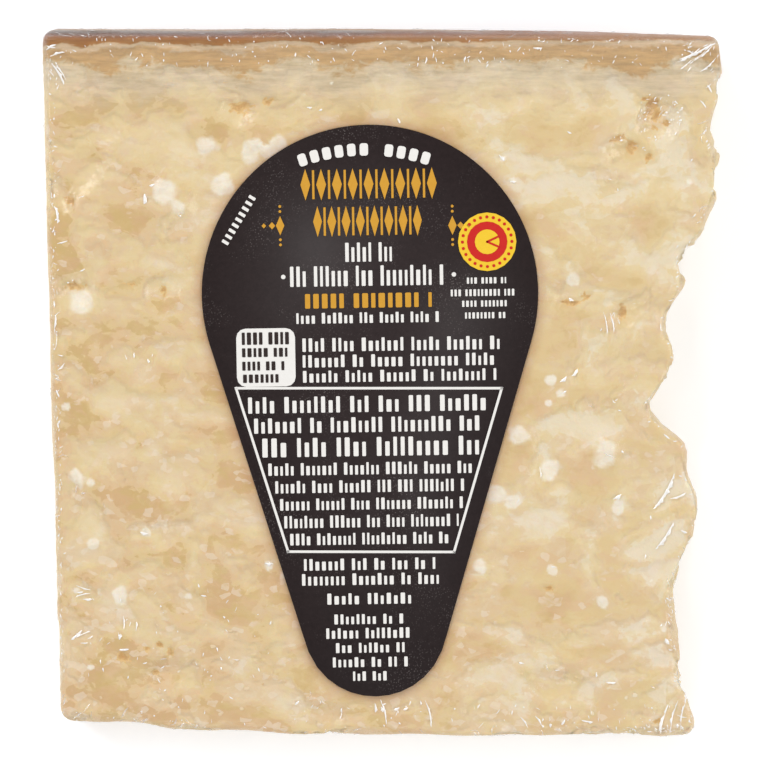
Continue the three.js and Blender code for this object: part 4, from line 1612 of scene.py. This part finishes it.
# %% Pits, crystals and the painted shade beside the label
PIT_TEAR = 1.6
PIT_GRAIN = 0.9
CRYSTAL_TEAR = 0.25
LABEL_SHADE_STRENGTH = 0.4
torn_pit = add_node(
    tree, "ShaderNodeMath", {0: centred, 1: PIT_TEAR, 2: pit}, operation="MULTIPLY_ADD"
).outputs["Value"]
above_grain = add_node(
    tree, "ShaderNodeMath", {0: grain, 1: 0.5}, operation="SUBTRACT"
).outputs["Value"]
sharp_pit = add_node(
    tree, "ShaderNodeMath", {0: above_grain, 1: PIT_GRAIN, 2: torn_pit}, operation="MULTIPLY_ADD"
).outputs["Value"]
pit_heart_shade = add_node(
    tree, "ShaderNodeMapRange", {"Value": sharp_pit, "From Min": 0.6, "From Max": 1.1}
).outputs["Result"]
pit_colour = add_node(
    tree, "ShaderNodeMix", {0: pit_heart_shade, MIX_A: linear(PIT_RIM), MIX_B: linear(PIT_SHADED_HEART)},
    data_type="RGBA",
).outputs[MIX_COLOUR]
pit_share = add_node(
    tree, "ShaderNodeMapRange",
    {"Value": sharp_pit, "From Min": 0.36, "From Max": 0.5, "To Max": 0.9},
    interpolation_type="SMOOTHSTEP",
).outputs["Result"]
pitted = add_node(
    tree, "ShaderNodeMix", {0: pit_share, MIX_A: banded, MIX_B: pit_colour}, data_type="RGBA"
).outputs[MIX_COLOUR]
milky = add_node(
    tree, "ShaderNodeMapRange",
    {"Value": patches, "From Min": 0.3, "From Max": 0.7, "To Min": 0.55, "To Max": 1.0},
).outputs["Result"]
torn_crystal = add_node(
    tree, "ShaderNodeMath", {0: centred, 1: CRYSTAL_TEAR, 2: crystal}, operation="MULTIPLY_ADD"
).outputs["Value"]
crystal_rim = add_node(
    tree, "ShaderNodeMapRange", {"Value": torn_crystal, "From Min": 0.15, "From Max": 0.85},
    interpolation_type="SMOOTHSTEP",
).outputs["Result"]
crystal_share = add_node(
    tree, "ShaderNodeMath", {0: crystal_rim, 1: milky}, operation="MULTIPLY"
).outputs["Value"]
spotted = add_node(
    tree, "ShaderNodeMix", {0: crystal_share, MIX_A: pitted, MIX_B: linear(CRYSTAL)},
    data_type="RGBA",
).outputs[MIX_COLOUR]
label_shade_share = add_node(
    tree, "ShaderNodeMath", {0: painted_label_shade, 1: LABEL_SHADE_STRENGTH}, operation="MULTIPLY"
).outputs["Value"]
label_shaded = add_node(
    tree, "ShaderNodeMix", {0: label_shade_share, MIX_A: spotted, MIX_B: linear(LABEL_SHADE)},
    data_type="RGBA",
).outputs[MIX_COLOUR]

print("spots added,", len(tree.nodes), "nodes so far")

# %% [markdown]
# ## The paste's surface
#
# Waxy places are smoother than crumbly ones, so the roughness follows the tone. A small bump adds
# a grain that is too fine for the mesh. Light wanders about a millimetre and a half in the paste,
# and red goes deepest.

# %% Bump and the shader
roughness = add_node(
    tree, "ShaderNodeMapRange", {"Value": tone_value, "To Min": 0.38, "To Max": 0.7}
).outputs["Result"]
crumb_height = add_node(
    tree, "ShaderNodeMath", {0: grain, 1: field, 2: mottle}, operation="MULTIPLY_ADD"
).outputs["Value"]
crumb_bump = add_node(
    tree, "ShaderNodeBump", {"Height": crumb_height, "Strength": 0.4, "Distance": 0.25 * MM}
).outputs["Normal"]
paste_shader = add_node(
    tree, "ShaderNodeBsdfPrincipled",
    {
        "Base Color": label_shaded, "Roughness": roughness, "Normal": crumb_bump,
        "Specular IOR Level": 0.3, "Subsurface Weight": 0.25, "Subsurface Radius": (1.6, 1.0, 0.55),
        "Subsurface Scale": MM,
    },
    subsurface_method="RANDOM_WALK",
)
add_node(tree, "ShaderNodeOutputMaterial", {"Surface": paste_shader.outputs["BSDF"]})
cheese.data.materials.append(paste)
print("cheese material:", len(tree.nodes), "nodes")

# %% [markdown]
# ## Paste for the crumbs
#
# A crumb is smaller than the way that light wanders, where scattering inside it would only turn
# it noisy. It gets the same paste without that.

# %% The same paste for crumbs
crumb_paste = paste.copy()
crumb_paste.name = "aged_cheese_crumb"
for node in crumb_paste.node_tree.nodes:
    if node.type == "BSDF_PRINCIPLED":
        node.inputs["Subsurface Weight"].default_value = 0.0
crumbs.data.materials.append(crumb_paste)
print("crumb material made")

# %% [markdown]
# ## Clear shrink film
#
# The film is a few hundredths of a millimetre of clear plastic. A refracting shell would darken
# the cheese and turn noisy, and such a thin film bends no light, so it is drawn as what it does:
# it lets light through unchanged and reflects about four parts in a hundred, more at a glancing
# angle. The reflection comes from the mix of a transparent and a glossy shader by how the surface
# faces the eye.
#
# Where plastic film is folded hard it turns milky, which is called stress whitening. So at the
# edges and in the creases part of the gloss gives way to a white diffuse shader, and a crease
# shows pale from every side, with a glint on it. That white is partly the whitening and partly a
# painted highlight, which stands in for the glints of creases and bubbles.

# %% Film and crease materials
EDGE_RUFFLE = 3.0
EDGE_HAZE = 0.08
EDGE_MILK_AND_GLINT = 0.7
GLANCING_POWER = 5.0
GLANCING_SHARE = 0.06


def film_material(name, facing_share, roughness_value, wrinkle, milk_and_glint_base):
    """A clear film that reflects a share of the light head-on, and more at edges."""
    material, tree = new_material(name)
    facing = add_node(tree, "ShaderNodeLayerWeight", {"Blend": 0.5}).outputs["Facing"]
    edge = add_node(
        tree, "ShaderNodeMath", {0: facing, 1: GLANCING_POWER}, operation="POWER"
    ).outputs["Value"]
    edge_share = add_node(tree, "ShaderNodeAttribute", attribute_name="edge_share").outputs["Fac"]
    glancing = add_node(
        tree, "ShaderNodeMath", {0: edge, 1: GLANCING_SHARE, 2: facing_share},
        operation="MULTIPLY_ADD",
    ).outputs["Value"]
    share = add_node(
        tree, "ShaderNodeMath", {0: edge_share, 1: EDGE_HAZE, 2: glancing}, operation="MULTIPLY_ADD"
    ).outputs["Value"]
    milk_and_glint_share = add_node(
        tree, "ShaderNodeMath", {0: edge_share, 1: EDGE_MILK_AND_GLINT, 2: milk_and_glint_base}, operation="MULTIPLY_ADD",
        use_clamp=True,
    ).outputs["Value"]
    place = add_node(tree, "ShaderNodeTexCoord").outputs["Object"]
    ripples = add_node(
        tree, "ShaderNodeTexNoise",
        {"Vector": place, "Scale": 0.8 / MM, "Detail": 1.5, "Roughness": 0.6},
    ).outputs["Fac"]
    ruffle = add_node(
        tree, "ShaderNodeMath", {0: edge_share, 1: EDGE_RUFFLE, 2: 1.0}, operation="MULTIPLY_ADD"
    ).outputs["Value"]
    height = add_node(
        tree, "ShaderNodeMath", {0: ripples, 1: ruffle}, operation="MULTIPLY"
    ).outputs["Value"]
    ripple_bump = add_node(
        tree, "ShaderNodeBump", {"Height": height, "Strength": wrinkle, "Distance": 0.3 * MM}
    ).outputs["Normal"]
    gloss = add_node(
        tree, "ShaderNodeBsdfAnisotropic",
        {"Color": (1, 1, 1, 1), "Roughness": roughness_value, "Normal": ripple_bump},
    ).outputs["BSDF"]
    # White diffuse: stress whitening, and partly painted highlight that makes creases, glints and
    # bubbles bright from every side.
    milk_and_painted_glint = add_node(tree, "ShaderNodeBsdfDiffuse", {"Color": (1, 0.98, 0.95, 1)}).outputs["BSDF"]
    surface = add_node(
        tree, "ShaderNodeMixShader", {0: milk_and_glint_share, 1: gloss, 2: milk_and_painted_glint}
    ).outputs["Shader"]
    clear = add_node(tree, "ShaderNodeBsdfTransparent").outputs["BSDF"]
    shader = add_node(
        tree, "ShaderNodeMixShader", {0: share, 1: clear, 2: surface}
    ).outputs["Shader"]
    add_node(tree, "ShaderNodeOutputMaterial", {"Surface": shader})
    return material


film.data.materials.append(film_material("clear_shrink_film", 0.035, 0.24, 0.6, 0.0))
# The crease materials paint most of their glints as milky white: painted highlight.
creases.data.materials.append(film_material("stress_white_film_painted_glints", 0.92, 0.2, 0.1, 0.85))
creases.data.materials.append(film_material("creased_film_painted_glints", 0.45, 0.16, 0.1, 0.6))
print("film materials made")

# %% [markdown]
# ## Coated paper and inks
#
# The label is paper printed black all over and coated, so it has a satin sheen and hardly any
# grain. Its cut edge shows the brown of the bare paper, and the same brown on a rim of the upper
# face, up to half a millimetre wide, is a painted fringe of light at the label's edge. The inks are
# flat colours on the same coat. A faint noise keeps each from being one flat number, and specks of
# dust lie in soft clouds on the black, which makes a dark surface look real. The specks are drawn
# about 0.2 mm wide, as coarse as they need to show.

# %% Paper and ink materials
DUST = "B5ACA8"
BLACK_DUST = 0.4
RIM_NEAR = 0.02 * MM
FRINGE_REACH = 0.5 * MM


def coated_paper(name, colour, other_colour, roughness_value, dust=0.0):
    """Satin paper or ink whose colour wavers between two near tones, with specks of dust."""
    material, tree = new_material(name)
    place = add_node(tree, "ShaderNodeTexCoord").outputs["Object"]
    mottle = add_node(
        tree, "ShaderNodeTexNoise",
        {"Vector": place, "Scale": 1.25 / MM, "Detail": 4.0, "Roughness": 0.7},
    ).outputs["Fac"]
    tone = add_node(
        tree, "ShaderNodeMix", {0: mottle, MIX_A: linear(colour), MIX_B: linear(other_colour)},
        data_type="RGBA",
    ).outputs[MIX_COLOUR]
    specks = add_node(
        tree, "ShaderNodeTexVoronoi", {"Vector": place, "Scale": 2.6 / MM}
    ).outputs["Distance"]
    near_speck = add_node(
        tree, "ShaderNodeMapRange",
        {"Value": specks, "From Min": 0.12, "From Max": 0.32, "To Min": 1.0, "To Max": 0.0},
    ).outputs["Result"]
    cloud = add_node(
        tree, "ShaderNodeTexNoise",
        {"Vector": place, "Scale": 0.07 / MM, "Detail": 4.0, "Roughness": 0.65},
    ).outputs["Fac"]
    dusty = add_node(
        tree, "ShaderNodeMapRange",
        {"Value": cloud, "From Min": 0.48, "From Max": 0.72, "To Max": dust},
    ).outputs["Result"]
    dust_share = add_node(
        tree, "ShaderNodeMath", {0: near_speck, 1: dusty}, operation="MULTIPLY"
    ).outputs["Value"]
    dusted = add_node(
        tree, "ShaderNodeMix", {0: dust_share, MIX_A: tone, MIX_B: linear(DUST)}, data_type="RGBA"
    ).outputs[MIX_COLOUR]
    fibres = add_node(
        tree, "ShaderNodeBump", {"Height": mottle, "Strength": 0.15, "Distance": 0.05 * MM}
    ).outputs["Normal"]
    shader = add_node(
        tree, "ShaderNodeBsdfPrincipled",
        {
            "Base Color": dusted, "Roughness": roughness_value, "Normal": fibres,
            "Specular IOR Level": 0.22,
        },
    ).outputs["BSDF"]
    add_node(tree, "ShaderNodeOutputMaterial", {"Surface": shader})
    return material


label.data.materials.append(
    coated_paper("black_coated_paper", "1F1616", "342929", 0.45, BLACK_DUST)
)
label.data.materials.append(coated_paper("bare_paper_edge_and_painted_fringe", "8A5A3C", "9C6A48", 0.7))
# The upright cut edge gets bare paper; faces of the upper face within half a millimetre of the
# outline get it too, as a painted fringe of light.
for polygon in label.data.polygons:
    distances = [label_distance(label.data.vertices[index].co) for index in polygon.vertices]
    at_rim = max(distances) > -RIM_NEAR and min(distances) > -FRINGE_REACH
    upright = max(distances) > -RIM_NEAR and abs(polygon.normal.z) < 0.5
    if at_rim or upright:
        polygon.material_index = 1
white_print.data.materials.append(coated_paper("white_ink", "E4E1DC", "F0EEEA", 0.45))
gold_print.data.materials.append(coated_paper("gold_ink", "C9922E", "D8A23C", 0.4))
yellow_print.data.materials.append(coated_paper("yellow_ink", "EBC02A", "F2CB3A", 0.45))
red_print.data.materials.append(coated_paper("red_ink", "C4201C", "CF2C24", 0.45))
dark_print.data.materials.append(coated_paper("dark_ink", "2A201E", "352A27", 0.42))
print("paper and inks made")

# %% [markdown]
# ## What each piece belongs to
#
# Every piece rides on the one body. The cheese, crumbs, film and creases together stand for the
# solid of the sealed chunk, and the paper with its print for the solid of the label.

# %% Ride and replace
PIECES = [
    (cheese, "cheese_in_film", "cheese"), (crumbs, "cheese_in_film", "cheese"),
    (film, "cheese_in_film", "film"), (creases, "cheese_in_film", "film"),
    (label, "label", "label_paper"), (white_print, "label", "print_white"),
    (gold_print, "label", "print_gold"), (yellow_print, "label", "print_gold"),
    (red_print, "label", "print_red"), (dark_print, "label", "label_paper"),
]
for piece, node, slot in PIECES:
    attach(piece, "root")
    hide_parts(node)
print("pieces:", len(PIECES))

# %% [markdown]
# ## Table, light and camera
#
# The photograph is a catalogue shot: the camera looks straight down from about 0.9 m through a
# long lens, the ground is pure white, and a large soft light from the upper left leaves only a
# faint shadow at the right and below. Product shots get that from a white board that is also lit
# from underneath, so the board here glows a little.

# %% The white board
BOARD_GLOW = 0.25
BOARD_COLOUR = (0.905, 0.93, 0.97, 1)  # a trace of blue, against the warm light off the cheese
BOARD_HALF_SIDE = 1.5

board_mesh = bmesh.new()
bmesh.ops.create_grid(board_mesh, x_segments=1, y_segments=1, size=BOARD_HALF_SIDE)
board = new_object("white_board", board_mesh)
board_paint, tree = new_material("white_card")
lit = add_node(tree, "ShaderNodeBsdfDiffuse", {"Color": BOARD_COLOUR}).outputs["BSDF"]
glow = add_node(tree, "ShaderNodeEmission", {"Strength": BOARD_GLOW}).outputs["Emission"]
shader = add_node(tree, "ShaderNodeAddShader", {0: lit, 1: glow}).outputs["Shader"]
add_node(tree, "ShaderNodeOutputMaterial", {"Surface": shader})
board.data.materials.append(board_paint)
print("board:", 2 * BOARD_HALF_SIDE, "m wide")

# %% [markdown]
# ## Lights
#
# A large window at the upper left and a fill at the right light the chunk softly. Four strips
# stand round it, about 40 degrees up, and give the film its glints. Each row has a name, a place,
# a side in metres and a power in watts.

# %% Soft lights
ROOM_LIGHT = 0.53
LIGHTS = [
    ("window_upper_left", (-0.75, 0.75, 1.15), 0.7, 9.1),
    ("fill_right", (1.0, -0.3, 1.0), 0.8, 5.5),
    ("strip_left", (-1.0, -0.1, 0.9), 0.14, 1.2),
    ("strip_top", (0.1, 1.0, 0.9), 0.14, 1.2),
    ("strip_right", (1.0, 0.1, 0.85), 0.14, 0.9),
    ("strip_bottom", (-0.1, -1.0, 0.85), 0.14, 0.9),
]
for name, spot, size, power in LIGHTS:
    lamp = bpy.data.lights.new(name, "AREA")
    lamp.size = size
    lamp.energy = power
    holder = bpy.data.objects.new(name, lamp)
    bpy.context.scene.collection.objects.link(holder)
    holder.location = spot
    holder.rotation_euler = (-Vector(spot)).to_track_quat("-Z", "Y").to_euler()
world = bpy.data.worlds.new("soft_room")
world.use_nodes = True
world.node_tree.nodes["Background"].inputs["Color"].default_value = (1, 1, 1, 1)
world.node_tree.nodes["Background"].inputs["Strength"].default_value = ROOM_LIGHT
bpy.context.scene.world = world
bpy.context.scene.view_settings.view_transform = "Standard"
print("lights:", len(LIGHTS))

# %% [markdown]
# ## Camera
#
# The camera looks straight down. Its distance and lens follow from how much of the rind's wall
# shows past the upper edge, and its small offset centres the chunk as in the photograph.

# %% The camera above
CAMERA_HEIGHT = 0.9
CAMERA_SHIFT = (-0.009 * MM, -0.125 * MM)
CAMERA_LENS_MM = 229.95
SENSOR_MM = 36

camera_data = bpy.data.cameras.new("overhead")
camera_data.lens = CAMERA_LENS_MM
camera_data.sensor_width = SENSOR_MM
camera_data.clip_start = 0.05
camera = bpy.data.objects.new("overhead", camera_data)
camera.location = (*CAMERA_SHIFT, CAMERA_HEIGHT)
bpy.context.scene.collection.objects.link(camera)
bpy.context.scene.camera = camera
print("camera", CAMERA_HEIGHT, "m above the table")
